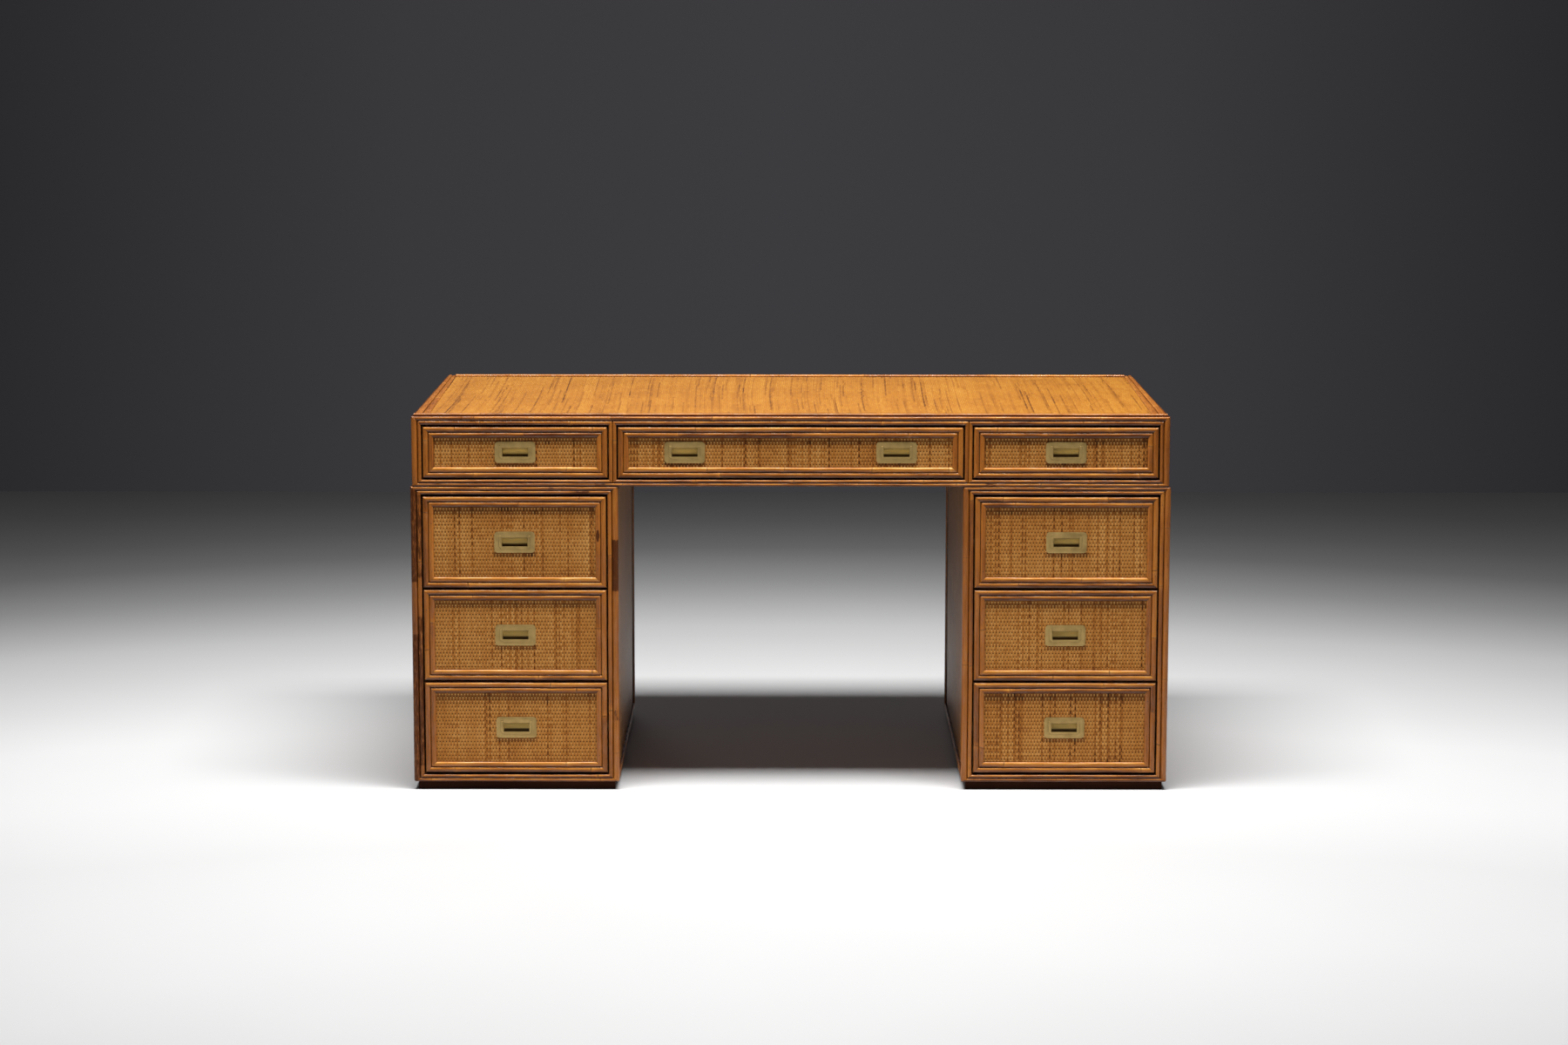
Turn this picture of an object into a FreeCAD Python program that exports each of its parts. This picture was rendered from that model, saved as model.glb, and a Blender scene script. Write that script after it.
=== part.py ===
import FreeCAD, Part
import math
import os

import Sketcher
from FreeCAD import Placement, Rotation, Vector

# A kneehole desk in three cases: an upper case with three drawers, standing on two pedestals
# with three drawers each. The boards are faced with woven cane, and every face is framed with
# split canes. Ten flush brass pulls with hinged bails open the nine drawers.
# Frame: origin on the floor under the middle of the desk, X to the right, Z up, front towards -Y.

doc = FreeCAD.newDocument("pedestal_desk")

# Driving dimensions, in millimetres
desk = {
    "desk_width": 1500, "desk_depth": 750, "desk_height": 755,
    "upper_case_tall": 139.5, "kneehole_width": 680, "centre_opening": 685,
}
boards = {
    "top_board": 18, "side_board": 16, "upper_side_board": 14.5, "upper_inset": 3.5,
    "partition_board": 15.5, "upper_floor_board": 14,
    "pedestal_top_board": 16, "pedestal_floor_board": 15, "back_board": 12,
    "plinth_tall": 16, "plinth_recess": 9, "plinth_board": 18,
    "dowel_across": 10, "dowel_half_long": 11.7, "dowel_clearance": 0.3, "dowel_from_middle": 250,
}
canes = {
    "cane_rise": 5.5, "corner_cane": 13, "drawer_cane": 11,
    "rim_side_cane": 11.5, "rim_end_cane": 9, "weave_thick": 1.2,
}
drawer_parts = {
    "drawer_side_gap": 2.5, "upper_drawer_gap": 3, "pedestal_drawer_gap": 3.75,
    "front_board": 18, "drawer_board": 12, "drawer_bottom": 6, "drawer_long": 670,
    "drawer_overhang": 3, "drawer_lift": 12, "upper_box_tall": 76, "pedestal_box_tall": 150,
    "bottom_lift": 8, "bottom_groove": 5, "groove_slack": 0.2,
    "runner_tall": 14, "runner_bite": 6, "runner_clearance": 0.3, "runner_slack": 1,
    "runner_setback": 0.3, "runner_long": 680,
}
pulls = {
    "plate_width": 80, "plate_tall": 42, "plate_corner": 7, "plate_flange": 1.6,
    "cup_width": 66, "cup_tall": 31, "cup_deep": 12, "mortise_clearance": 0.5,
    "scoop_strip": 4.3, "scoop_deep": 9.5, "scoop_round": 16, "scoop_ledge": 1.8,
    "bail_width": 62, "bail_tall": 27, "bail_leg": 5.4, "bail_bar": 4.7, "bail_thick": 3,
    "bail_chamfer": 5, "bail_leg_chamfer": 1, "bail_gap": 0.3, "bail_seat": 0.2,
    "pin_across": 2, "pin_reach": 1.3, "pin_clearance": 0.06, "pull_spacing": 417,
}
overrun = {"cut_overrun": 1}

# Outline of a split cane, as shares of its width and of its rise
crown_shares = ((0, 0), (0, 0.42), (0.2, 0.88), (0.5, 1), (0.8, 0.88), (1, 0.42), (1, 0))
# Flats round a corner cane, a dowel or a hinge hole, and steps round a pull plate's corner
round_sides = 12
plate_corner_steps = 5
flat_share = math.cos(math.pi / round_sides)
# A cane's end counts as square when it leans by less than this share of the cane's width
square_share = 0.001


class Size:
    """A length that carries its value and the expression that keeps it bound to the sheet."""

    def __init__(self, text, value):
        self.text = text
        self.value = value

    def __add__(self, other):
        return Size(f"({self.text} + {other.text})", self.value + other.value)

    def __sub__(self, other):
        return Size(f"({self.text} - {other.text})", self.value - other.value)

    def __mul__(self, factor):
        return Size(f"({self.text} * {factor})", self.value * factor)

    def __truediv__(self, count):
        return Size(f"({self.text} / {count})", self.value / count)

    def __neg__(self):
        return Size(f"({self.text} * -1)", -self.value)

    def __float__(self):
        return float(self.value)


def fill_sheet(*groups):
    """Write every driving dimension to the sheet and give back a Size for each."""
    sheet = doc.addObject("Spreadsheet::Sheet", "sizes")
    bound = {}
    row = 1
    for group in groups:
        for name, value in group.items():
            sheet.set(f"A{row}", name)
            sheet.set(f"B{row}", str(value))
            sheet.setAlias(f"B{row}", name)
            bound[name] = Size(f"sizes.{name}", value)
            row += 1
    doc.recompute()
    return bound


size = fill_sheet(desk, boards, canes, drawer_parts, pulls, overrun)
zero = Size("0", 0.0)

# Planes that several pieces share, worked out from the driving dimensions
half_width = size["desk_width"] / 2
half_depth = size["desk_depth"] / 2
board_side = half_width - size["cane_rise"]
board_front = half_depth - size["cane_rise"]
board_top = size["desk_height"] - size["cane_rise"]
side_inner = board_side - size["side_board"]
upper_case_side = half_width - size["upper_inset"]
upper_board_side = board_side - size["upper_inset"]
upper_side_inner = upper_board_side - size["upper_side_board"]
back_inner = board_front - size["back_board"]
case_joint = board_top - size["upper_case_tall"]
upper_low = case_joint + size["upper_floor_board"]
upper_high = board_top - size["top_board"]
partition_inner = size["centre_opening"] / 2
partition_outer = partition_inner + size["partition_board"]
knee_side = size["kneehole_width"] / 2
knee_board = knee_side + size["cane_rise"]
knee_inner = knee_board + size["side_board"]
pedestal_low = size["plinth_tall"] + size["pedestal_floor_board"]
pedestal_high = case_joint - size["pedestal_top_board"]
pedestal_middle = (side_inner + knee_inner) / 2
stile_inset = size["cane_rise"] - size["corner_cane"]

# Drawer fronts
upper_drawer_tall = upper_high - upper_low - size["upper_drawer_gap"] * 2
pedestal_drawer_tall = (pedestal_high - pedestal_low - size["pedestal_drawer_gap"] * 4) / 3
centre_drawer_width = size["centre_opening"] - size["drawer_side_gap"] * 2
upper_side_width = upper_side_inner - partition_outer - size["drawer_side_gap"] * 2
upper_side_middle = (upper_side_inner + partition_outer) / 2
pedestal_drawer_width = side_inner - knee_inner - size["drawer_side_gap"] * 2

# Pull: the plate's middle is the middle of its outline, and the bail lies low in it
bail_top = size["bail_tall"] / 2
pin_height = bail_top - size["bail_thick"] / 2
bail_front = -size["plate_flange"]
bail_back = bail_front + size["bail_thick"]
recess_floor = bail_back + size["bail_seat"]
pin_depth = bail_front + size["bail_thick"] / 2


def place(piece, x, y, z):
    for axis, value in zip("xyz", (x, y, z)):
        piece.setExpression(f"Placement.Base.{axis}", value.text)


def board(name, x, y, z):
    """A rectangular board between its low and high faces on each axis."""
    box = doc.addObject("Part::Box", name)
    for side, (low, high) in zip(("Length", "Width", "Height"), (x, y, z)):
        box.setExpression(side, (high - low).text)
    place(box, x[0], y[0], z[0])
    return box


def rod(name, across, low, high, x, y):
    """An upright round rod in flats, as wide across its corners as given."""
    prism = doc.addObject("Part::Prism", name)
    prism.Polygon = round_sides
    prism.setExpression("Circumradius", (across / 2).text)
    prism.setExpression("Height", (high - low).text)
    place(prism, x, y, low)
    return prism


def cut(name, base, tool):
    result = doc.addObject("Part::Cut", name)
    result.Base = base
    result.Tool = tool
    return result


nodes = []


def node(piece, name):
    piece.Label = name
    nodes.append(piece)
    return piece


def group(name, pieces):
    """One node that holds several separate solids."""
    compound = doc.addObject("Part::Compound", name)
    compound.Links = pieces
    return node(compound, name)


# Split canes


def cutter(outer, inner, away, outward, reach, margin):
    """A wedge that trims a cane's end along the mitre line from outer to inner."""
    line = (inner - outer).normalize() * margin
    base = outward * -margin
    corners = [outer - line + base, inner + line + base]
    corners += [corners[1] + away * reach, corners[0] + away * reach]
    face = Part.Face(Part.makePolygon(corners + corners[:1]))
    return face.extrude(outward * (reach + margin))


def cane(outer_start, outer_end, inner_start, inner_end, outward, rise):
    """A split cane with a flat back and a round crown, between two mitre lines."""
    along = (outer_end - outer_start).normalize()
    lean = inner_start - outer_start
    across = lean - along * lean.dot(along)
    width = across.Length
    low, high = 0.0, (outer_end - outer_start).Length
    for outer, inner in ((outer_start, inner_start), (outer_end, inner_end)):
        low = min(low, (inner - outer_start).dot(along))
        high = max(high, (inner - outer_start).dot(along))
    foot = outer_start + along * low
    points = [foot + across * share + outward * (rise * height) for share, height in crown_shares]
    bar = Part.Face(Part.makePolygon(points + points[:1])).extrude(along * (high - low))
    margin = float(size["cut_overrun"])
    ends = ((outer_start, inner_start, -along), (outer_end, inner_end, along))
    for outer, inner, away in ends:
        if abs((inner - outer).dot(along)) > square_share * width:
            reach = abs((inner - outer).dot(along)) + width + rise
            bar = bar.cut(cutter(outer, inner, away, outward, reach, margin))
    return bar


class Face:
    """A flat face of a case: its lower left corner seen from outside, and its directions."""

    def __init__(self, origin, right, outward):
        self.origin = origin
        self.right = right
        self.up = Vector(0, 0, 1)
        self.outward = outward

    def at(self, across, height):
        return self.origin + self.right * float(across) + self.up * float(height)

    def cane(self, outer, inner, rise):
        points = [self.at(*point) for point in outer + inner]
        return cane(*points, self.outward, float(rise))


def cane_ring(face, left, right, low, high, widths, rise):
    """Four mitred canes round a rectangle; widths are those of the left, right, low and high."""
    wide_left, wide_right, wide_low, wide_high = widths
    outer = [(left, low), (right, low), (right, high), (left, high)]
    inner = [
        (left + wide_left, low + wide_low), (right - wide_right, low + wide_low),
        (right - wide_right, high - wide_high), (left + wide_left, high - wide_high),
    ]
    return [
        face.cane([outer[start], outer[end]], [inner[start], inner[end]], rise)
        for start, end in ((0, 1), (2, 3), (3, 0), (1, 2))
    ]


def rail(face, long, height, inner_height, mitred):
    """An outer horizontal cane, mitred into the corner canes or stopped against them."""
    corner = size["corner_cane"]
    start = zero if mitred else corner
    return face.cane([(start, height), (long - start, height)],
                     [(corner, inner_height), (long - corner, inner_height)], size["cane_rise"])


def round_bar(radius, tall, foot):
    """An upright bar whose many flats stand on its circle."""
    step = 2 * math.pi / round_sides
    turns = [step * (index + 0.5) for index in range(round_sides)]
    points = [foot + Vector(math.cos(turn), math.sin(turn), 0) * (radius / flat_share) for turn in turns]
    return Part.Face(Part.makePolygon(points + points[:1])).extrude(Vector(0, 0, tall))


def corner_canes(left, right, low, high, low_cane, high_cane):
    """The four thick canes that cover the upright corners of a case."""
    radius = size["corner_cane"].value / 2
    rise = size["cane_rise"].value
    margin = size["cut_overrun"].value
    thick = size["corner_cane"].value
    front = float(half_depth)
    tall = float(high - low)
    result = []
    for x, inward in ((left.value, 1), (right.value, -1)):
        for y, deeper in ((-front, 1), (front, -1)):
            bar = round_bar(radius, tall, Vector(x + inward * radius, y + deeper * radius, float(low)))
            reach = thick + margin
            rebate = Part.makeBox(reach, reach, tall + 2 * margin)
            rebate.translate(Vector(x + inward * rise - (reach if inward < 0 else 0),
                                    y + deeper * rise - (reach if deeper < 0 else 0),
                                    float(low) - margin))
            bar = bar.cut(rebate)
            outward = Vector(0, -deeper, 0)
            ends = ((low, low_cane, -1), (high, high_cane, 1))
            for end, width, upward in ends:
                outer = Vector(x, y + deeper * reach, float(end))
                inner = Vector(x + inward * thick, outer.y, float(end) - upward * float(width))
                wedge = cutter(outer, inner, Vector(0, 0, upward), outward, 2 * reach, margin)
                bar = bar.cut(wedge)
            result.append(bar)
    return result


def cane_node(name, solids):
    feature = doc.addObject("Part::Feature", name)
    feature.Shape = Part.Compound(solids)
    return node(feature, name)


def case_faces(left, right, low):
    """The four upright faces of a case, each from its lower left corner seen from outside."""
    front, back = -float(board_front), float(board_front)
    edge = float(half_depth)
    left_x, right_x, base = float(left), float(right), float(low)
    rise = size["cane_rise"].value
    x_dir, y_dir = Vector(1, 0, 0), Vector(0, 1, 0)
    return {
        "front": Face(Vector(left_x, front, base), x_dir, -y_dir),
        "back": Face(Vector(right_x, back, base), -x_dir, y_dir),
        "left": Face(Vector(left_x + rise, edge, base), -y_dir, -x_dir),
        "right": Face(Vector(right_x - rise, -edge, base), y_dir, x_dir),
    }


def case_canes(name, spans, low_board, high_board, side_board, front_splits=None):
    """Every cane of one case. front_splits lists the openings between partitions on its front."""
    left, right, low, high = spans
    tall = high - low
    corner = size["corner_cane"]
    inner_stile = side_board + stile_inset
    low_cane, high_cane = low_board / 2, high_board / 2
    solids = corner_canes(left, right, low, high, low_cane, high_cane)
    for side, face in case_faces(left, right, low).items():
        mitred = side in ("front", "back")
        long = right - left if mitred else size["desk_depth"]
        solids.append(rail(face, long, tall, tall - high_cane, mitred))
        solids.append(rail(face, long, zero, low_cane, mitred))
        openings = [(corner, long - corner, inner_stile, inner_stile)]
        if side == "front":
            openings = front_splits or openings
        for start, end, wide_start, wide_end in openings:
            widths = (wide_start, wide_end, low_cane, high_cane)
            solids += cane_ring(face, start, end, low_cane, tall - high_cane, widths, size["cane_rise"])
    return cane_node(name, solids)


def case_weave(name, spans, low_board, high_board, side_board):
    """Woven sheets on the side and back faces, inside their inner canes."""
    left, right, low, high = spans
    inset = size["cane_rise"] + side_board
    thick = size["weave_thick"]
    z_low, z_high = low + low_board, high - high_board
    front, back = -half_depth + inset, half_depth - inset
    left_face, right_face = left + size["cane_rise"], right - size["cane_rise"]
    deep, tall = (front, back), (z_low, z_high)
    return group(name, [
        board(name + "_left", (left_face - thick, left_face), deep, tall),
        board(name + "_right", (right_face, right_face + thick), deep, tall),
        board(name + "_back", (left + inset, right - inset), (board_front, board_front + thick), tall),
    ])


# Upper case


def dowel_places():
    for side in (-1, 1):
        for end in (-1, 1):
            yield pedestal_middle * side, size["dowel_from_middle"] * end


def dowel_holes(name, piece, low, high, places):
    across = (size["dowel_across"] + size["dowel_clearance"]) / flat_share
    for index, (x, y) in enumerate(places):
        hole = rod(f"{name}_hole_{index}", across, low, high, x, y)
        piece = cut(f"{name}_bored_{index}", piece, hole)
    return piece


def upper_case():
    across = (-upper_side_inner, upper_side_inner)
    floor = board("upper_floor", across, (-board_front, board_front), (case_joint, upper_low))
    hole_high = case_joint + size["dowel_half_long"] + size["dowel_clearance"]
    floor = dowel_holes("upper_floor", floor, case_joint - size["cut_overrun"], hole_high, dowel_places())
    pieces = [
        board("top_panel", (-upper_board_side, upper_board_side), (-board_front, board_front),
              (upper_high, board_top)),
        floor,
        board("upper_back", across, (back_inner, board_front), (upper_low, upper_high)),
    ]
    deep = (-board_front, board_front)
    inside = (-board_front, back_inner)
    pieces += [
        board("upper_left_side", (-upper_board_side, -upper_side_inner), deep, (case_joint, upper_high)),
        board("upper_right_side", (upper_side_inner, upper_board_side), deep, (case_joint, upper_high)),
        board("left_partition", (-partition_outer, -partition_inner), inside, (upper_low, upper_high)),
        board("right_partition", (partition_inner, partition_outer), inside, (upper_low, upper_high)),
    ]
    group("upper_case_boards", pieces)
    group("pedestal_dowels", [
        rod(f"dowel_{index}", size["dowel_across"], case_joint - size["dowel_half_long"],
            case_joint + size["dowel_half_long"], x, y)
        for index, (x, y) in enumerate(dowel_places())])


def upper_front_openings():
    """Start, end and cane widths of the three openings, counted from the case's left edge."""
    middle = upper_case_side
    inner_stile = size["upper_side_board"] + stile_inset
    half_partition = size["partition_board"] / 2
    split = partition_inner + half_partition
    corner = size["corner_cane"]
    return [
        (corner, middle - split, inner_stile, half_partition),
        (middle - split, middle + split, half_partition, half_partition),
        (middle + split, middle * 2 - corner, half_partition, inner_stile),
    ]


def desktop():
    """The woven top sheet and the raised rim of canes round it."""
    side = size["rim_side_cane"]
    end = size["rim_end_cane"]
    thick = size["weave_thick"]
    field_side = upper_board_side - side * 2
    field_end = board_front - end
    node(board("desktop_weave", (-field_side, field_side), (-field_end, field_end),
               (board_top, board_top + thick)), "desktop_weave")
    rise = float(size["cane_rise"])
    up = Vector(0, 0, 1)

    def rim_cane(x_from, x_to, y_from, y_to, lengthwise):
        a = Vector(float(x_from), float(y_from), float(board_top))
        b = Vector(float(x_to), float(y_from), float(board_top))
        c = Vector(float(x_from), float(y_to), float(board_top))
        d = Vector(float(x_to), float(y_to), float(board_top))
        return cane(a, b, c, d, up, rise) if lengthwise else cane(a, c, b, d, up, rise)

    solids = [
        rim_cane(-upper_board_side, upper_board_side, -board_front, -field_end, True),
        rim_cane(-field_side, field_side, field_end, board_front, True),
    ]
    for outer in (upper_board_side, upper_board_side - side):
        solids.append(rim_cane(-outer, side - outer, -field_end, board_front, False))
        solids.append(rim_cane(outer - side, outer, -field_end, board_front, False))
    cane_node("desktop_canes", solids)


# Pedestals


def pedestal(name, left, right, side):
    """One pedestal case, standing between its outer cane faces left and right."""
    board_left, board_right = left + size["cane_rise"], right - size["cane_rise"]
    inner_left, inner_right = board_left + size["side_board"], board_right - size["side_board"]
    low = size["plinth_tall"]
    deep = (-board_front, board_front)
    lid = board(name + "_lid", (inner_left, inner_right), deep, (pedestal_high, case_joint))
    places = [place_at for place_at in dowel_places() if place_at[0].value * side > 0]
    hole_low = case_joint - size["dowel_half_long"] - size["dowel_clearance"]
    lid = dowel_holes(name + "_lid", lid, hole_low, case_joint + size["cut_overrun"], places)
    group(name + "_boards", [
        lid,
        board(name + "_floor", (inner_left, inner_right), deep, (low, pedestal_low)),
        board(name + "_back", (inner_left, inner_right), (back_inner, board_front),
              (pedestal_low, pedestal_high)),
        board(name + "_left_side", (board_left, inner_left), deep, (low, case_joint)),
        board(name + "_right_side", (inner_right, board_right), deep, (low, case_joint)),
    ])
    spans = (left, right, low, case_joint)
    edges = (size["pedestal_floor_board"], size["pedestal_top_board"], size["side_board"])
    case_canes(name + "_canes", spans, *edges)
    case_weave(name + "_weave", spans, *edges)


def plinth_boards(name, left, right):
    """Four boards in a ring, set back under one pedestal."""
    x_low, x_high = left + size["plinth_recess"], right - size["plinth_recess"]
    y_high = half_depth - size["plinth_recess"]
    thick = size["plinth_board"]
    tall = (zero, size["plinth_tall"])
    return [
        board(name + "_front", (x_low, x_high), (-y_high, thick - y_high), tall),
        board(name + "_rear", (x_low, x_high), (y_high - thick, y_high), tall),
        board(name + "_left", (x_low, x_low + thick), (thick - y_high, y_high - thick), tall),
        board(name + "_right", (x_high - thick, x_high), (thick - y_high, y_high - thick), tall),
    ]


# Drawers. A drawer's own frame starts at the middle of its front board's lower front edge.


def drawer_side(name, side, half, box_tall):
    """One side board, with the runner's groove outside and the bottom's groove inside."""
    outer = half - size["drawer_overhang"]
    inner = outer - size["drawer_board"]
    y_low, y_high = size["front_board"], size["front_board"] + size["drawer_long"]
    z_low, z_high = size["drawer_lift"], size["drawer_lift"] + box_tall
    over = size["cut_overrun"]
    groove = runner_groove(box_tall)

    def mirrored(low, high):
        return (low, high) if side > 0 else (-high, -low)

    piece = board(name, mirrored(inner, outer), (y_low, y_high), (z_low, z_high))
    runner_reach = mirrored(outer - size["runner_bite"], outer + over)
    runner_slot = board(name + "_runner_slot", runner_reach, (y_low, y_high + over), groove)
    bottom_reach = mirrored(inner - over, inner + size["bottom_groove"])
    bottom_slot = board(name + "_bottom_slot", bottom_reach, (y_low - over, y_high + over), bottom_groove())
    piece = cut(name + "_slotted", piece, runner_slot)
    return cut(name + "_grooved", piece, bottom_slot)


def runner_groove(box_tall):
    """Low and high faces of the groove, from the front board's lower edge."""
    middle = size["drawer_lift"] + box_tall / 2
    low = middle - size["runner_tall"] / 2
    return low, low + size["runner_tall"] + size["runner_clearance"] + size["runner_slack"]


def bottom_groove():
    low = size["drawer_lift"] + size["bottom_lift"]
    return low, low + size["drawer_bottom"] + size["groove_slack"] * 2


def drawer_box(name, width, tall, box_tall, pull_places):
    """Front, sides, back and bottom of one drawer, with mortises for its pull cups."""
    half = width / 2
    inner = half - size["drawer_overhang"] - size["drawer_board"]
    front = board(name + "_front", (-half, half), (zero, size["front_board"]), (zero, tall))
    clearance = size["mortise_clearance"]
    for index, x in enumerate(pull_places):
        reach_x = size["cup_width"] / 2 + clearance
        reach_z = size["cup_tall"] / 2 + clearance
        mortise = board(f"{name}_mortise_{index}", (x - reach_x, x + reach_x),
                        (-size["cut_overrun"], size["cup_deep"] - size["weave_thick"] + clearance),
                        (tall / 2 - reach_z, tall / 2 + reach_z))
        front = cut(f"{name}_front_cut_{index}", front, mortise)
    bottom_low, bottom_high = bottom_groove()
    slack = size["groove_slack"]
    bottom_half = inner + size["bottom_groove"] - slack
    y_low = size["front_board"]
    y_high = y_low + size["drawer_long"]
    z_high = size["drawer_lift"] + box_tall
    pieces = [
        front,
        drawer_side(name + "_left_side", -1, half, box_tall),
        drawer_side(name + "_right_side", 1, half, box_tall),
        board(name + "_back", (-inner, inner), (y_high - size["drawer_board"], y_high),
              (bottom_high, z_high)),
        board(name + "_bottom", (-bottom_half, bottom_half), (y_low, y_high),
              (bottom_low + slack, bottom_high - slack)),
    ]
    return group(name + "_box", pieces)


def drawer_canes(name, width, tall):
    """Two nested frames of four mitred canes on the drawer's front."""
    wide = size["drawer_cane"]
    face = Face(Vector(-width.value / 2, 0, 0), Vector(1, 0, 0), Vector(0, -1, 0))
    rise = size["cane_rise"]
    outer = cane_ring(face, zero, width, zero, tall, (wide,) * 4, rise)
    inner = cane_ring(face, wide, width - wide, wide, tall - wide, (wide,) * 4, rise)
    return cane_node(name + "_canes", outer + inner)


def drawer_weave(name, width, tall, pull_places):
    """The woven sheet inside the canes, cut out for the pull cups."""
    half = width / 2 - size["drawer_cane"] * 2
    low, high = size["drawer_cane"] * 2, tall - size["drawer_cane"] * 2
    sheet = board(name + "_sheet", (-half, half), (-size["weave_thick"], zero), (low, high))
    over = size["cut_overrun"]
    reach_x = size["cup_width"] / 2 + size["mortise_clearance"]
    reach_z = size["cup_tall"] / 2 + size["mortise_clearance"]
    for index, x in enumerate(pull_places):
        hole = board(f"{name}_sheet_hole_{index}", (x - reach_x, x + reach_x),
                     (-size["weave_thick"] - over, over), (tall / 2 - reach_z, tall / 2 + reach_z))
        sheet = cut(f"{name}_sheet_cut_{index}", sheet, hole)
    return node(sheet, name + "_weave")


def runners(name, width, box_tall, x, low):
    """The two wooden strips that one drawer's grooves run on."""
    outer = width / 2 + size["drawer_side_gap"]
    inner = width / 2 - size["drawer_overhang"] - size["runner_bite"] + size["runner_clearance"]
    y_low = size["front_board"] + size["runner_setback"] - board_front
    groove_high = runner_groove(box_tall)[1]
    top = low + groove_high - size["runner_clearance"]
    spans = ((y_low, y_low + size["runner_long"]), (top - size["runner_tall"], top))
    return [
        board(name + "_left_runner", (x - outer, x - inner), *spans),
        board(name + "_right_runner", (x + inner, x + outer), *spans),
    ]


# Flush pulls. A pull's own frame starts at the middle of its plate, on the plate's back.


def outline(body, name, plane, points, arc_after=None, arc_radius=None):
    """A closed sketch through bound points, with one side optionally an arc."""
    sketch = body.newObject("Sketcher::SketchObject", name)
    support = next(item for item in body.Origin.OriginFeatures if item.Role == plane)
    sketch.AttachmentSupport = (support, "")
    sketch.MapMode = "FlatFace"
    spots = [Vector(a.value, b.value, 0) for a, b in points]
    count = len(points)
    for index in range(count):
        start, end = spots[index], spots[(index + 1) % count]
        if index == arc_after:
            middle = arc_middle(start, end, arc_radius.value)
            sketch.addGeometry(Part.Arc(start, middle, end), False)
        else:
            sketch.addGeometry(Part.LineSegment(start, end), False)
    forward = spots_are_forward(spots, arc_after, arc_radius)
    for index in range(count):
        after = (index + 1) % count
        here = 1 if index != arc_after or forward else 2
        there = 1 if after != arc_after or forward else 2
        end = 2 if here == 1 else 1
        sketch.addConstraint(Sketcher.Constraint("Coincident", index, end, after, there))
        for kind, value in zip(("DistanceX", "DistanceY"), points[index]):
            key = sketch.addConstraint(Sketcher.Constraint(kind, index, here, value.value))
            sketch.setExpression(f"Constraints[{key}]", value.text)
    if arc_after is not None:
        key = sketch.addConstraint(Sketcher.Constraint("Radius", arc_after, arc_radius.value))
        sketch.setExpression(f"Constraints[{key}]", arc_radius.text)
    return sketch


def arc_middle(start, end, radius):
    """The middle of the short arc that bulges to the right of the way from start to end."""
    chord = end - start
    across = Vector(chord.y, -chord.x, 0).normalize()
    sagitta = radius - (radius ** 2 - (chord.Length / 2) ** 2) ** 0.5
    return (start + end) * 0.5 + across * sagitta


def spots_are_forward(spots, arc_after, arc_radius):
    """Whether the arc's own start is the point where the outline reaches it."""
    if arc_after is None:
        return True
    start, end = spots[arc_after], spots[(arc_after + 1) % len(spots)]
    made = Part.Arc(start, arc_middle(start, end, arc_radius.value), end)
    return (made.StartPoint - start).Length < (made.StartPoint - end).Length


def rectangle(left, right, low, high):
    return [(left, low), (right, low), (right, high), (left, high)]


def rounded_rectangle(half_wide, half_tall, radius):
    """A rectangle about the origin whose corners turn in short steps."""
    points = []
    for quarter, (side, upright) in enumerate(((1, 1), (-1, 1), (-1, -1), (1, -1))):
        for step in range(plate_corner_steps + 1):
            turn = math.pi / 2 * (quarter + step / plate_corner_steps)
            across = (half_wide - radius) * side + radius * round(math.cos(turn), 9)
            height = (half_tall - radius) * upright + radius * round(math.sin(turn), 9)
            points.append((across, height))
    return points


def pad(body, sketch, name, long, reversed_way=False):
    feature = body.newObject("PartDesign::Pad", name)
    feature.Profile = sketch
    feature.setExpression("Length", long.text)
    feature.Reversed = reversed_way
    return finish_feature(feature)


def pocket(body, sketch, name, long, both_ways=False, reversed_way=False):
    before = body.Shape.Volume
    feature = body.newObject("PartDesign::Pocket", name)
    feature.Profile = sketch
    feature.setExpression("Length", long.text)
    feature.Midplane = both_ways
    feature.Reversed = reversed_way
    finish_feature(feature)
    if body.Shape.Volume >= before:
        raise ValueError(f"{name} removed nothing")
    return feature


def finish_feature(feature):
    doc.recompute()
    feature.Profile[0].Visibility = False
    return feature


def chamfer_leg_ends(body, name):
    """Bevels the ends of the bail's legs, so that they clear the recess as the bail swings."""
    picked = [f"Edge{index + 1}" for index, edge in enumerate(body.Shape.Edges) if is_leg_end(edge)]
    base = body.Tip
    feature = body.newObject("PartDesign::Chamfer", name)
    feature.Base = (base, picked)
    feature.setExpression("Size", size["bail_leg_chamfer"].text)
    doc.recompute()


def is_leg_end(edge):
    """Whether an edge of the bail lies across the end of a leg."""
    ends = [vertex.Point for vertex in edge.Vertexes]
    slack = size["pin_clearance"].value
    level = all(abs(end.z - bail_top.value) < slack for end in ends)
    return level and abs(ends[0].y - ends[1].y) < slack


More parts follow.
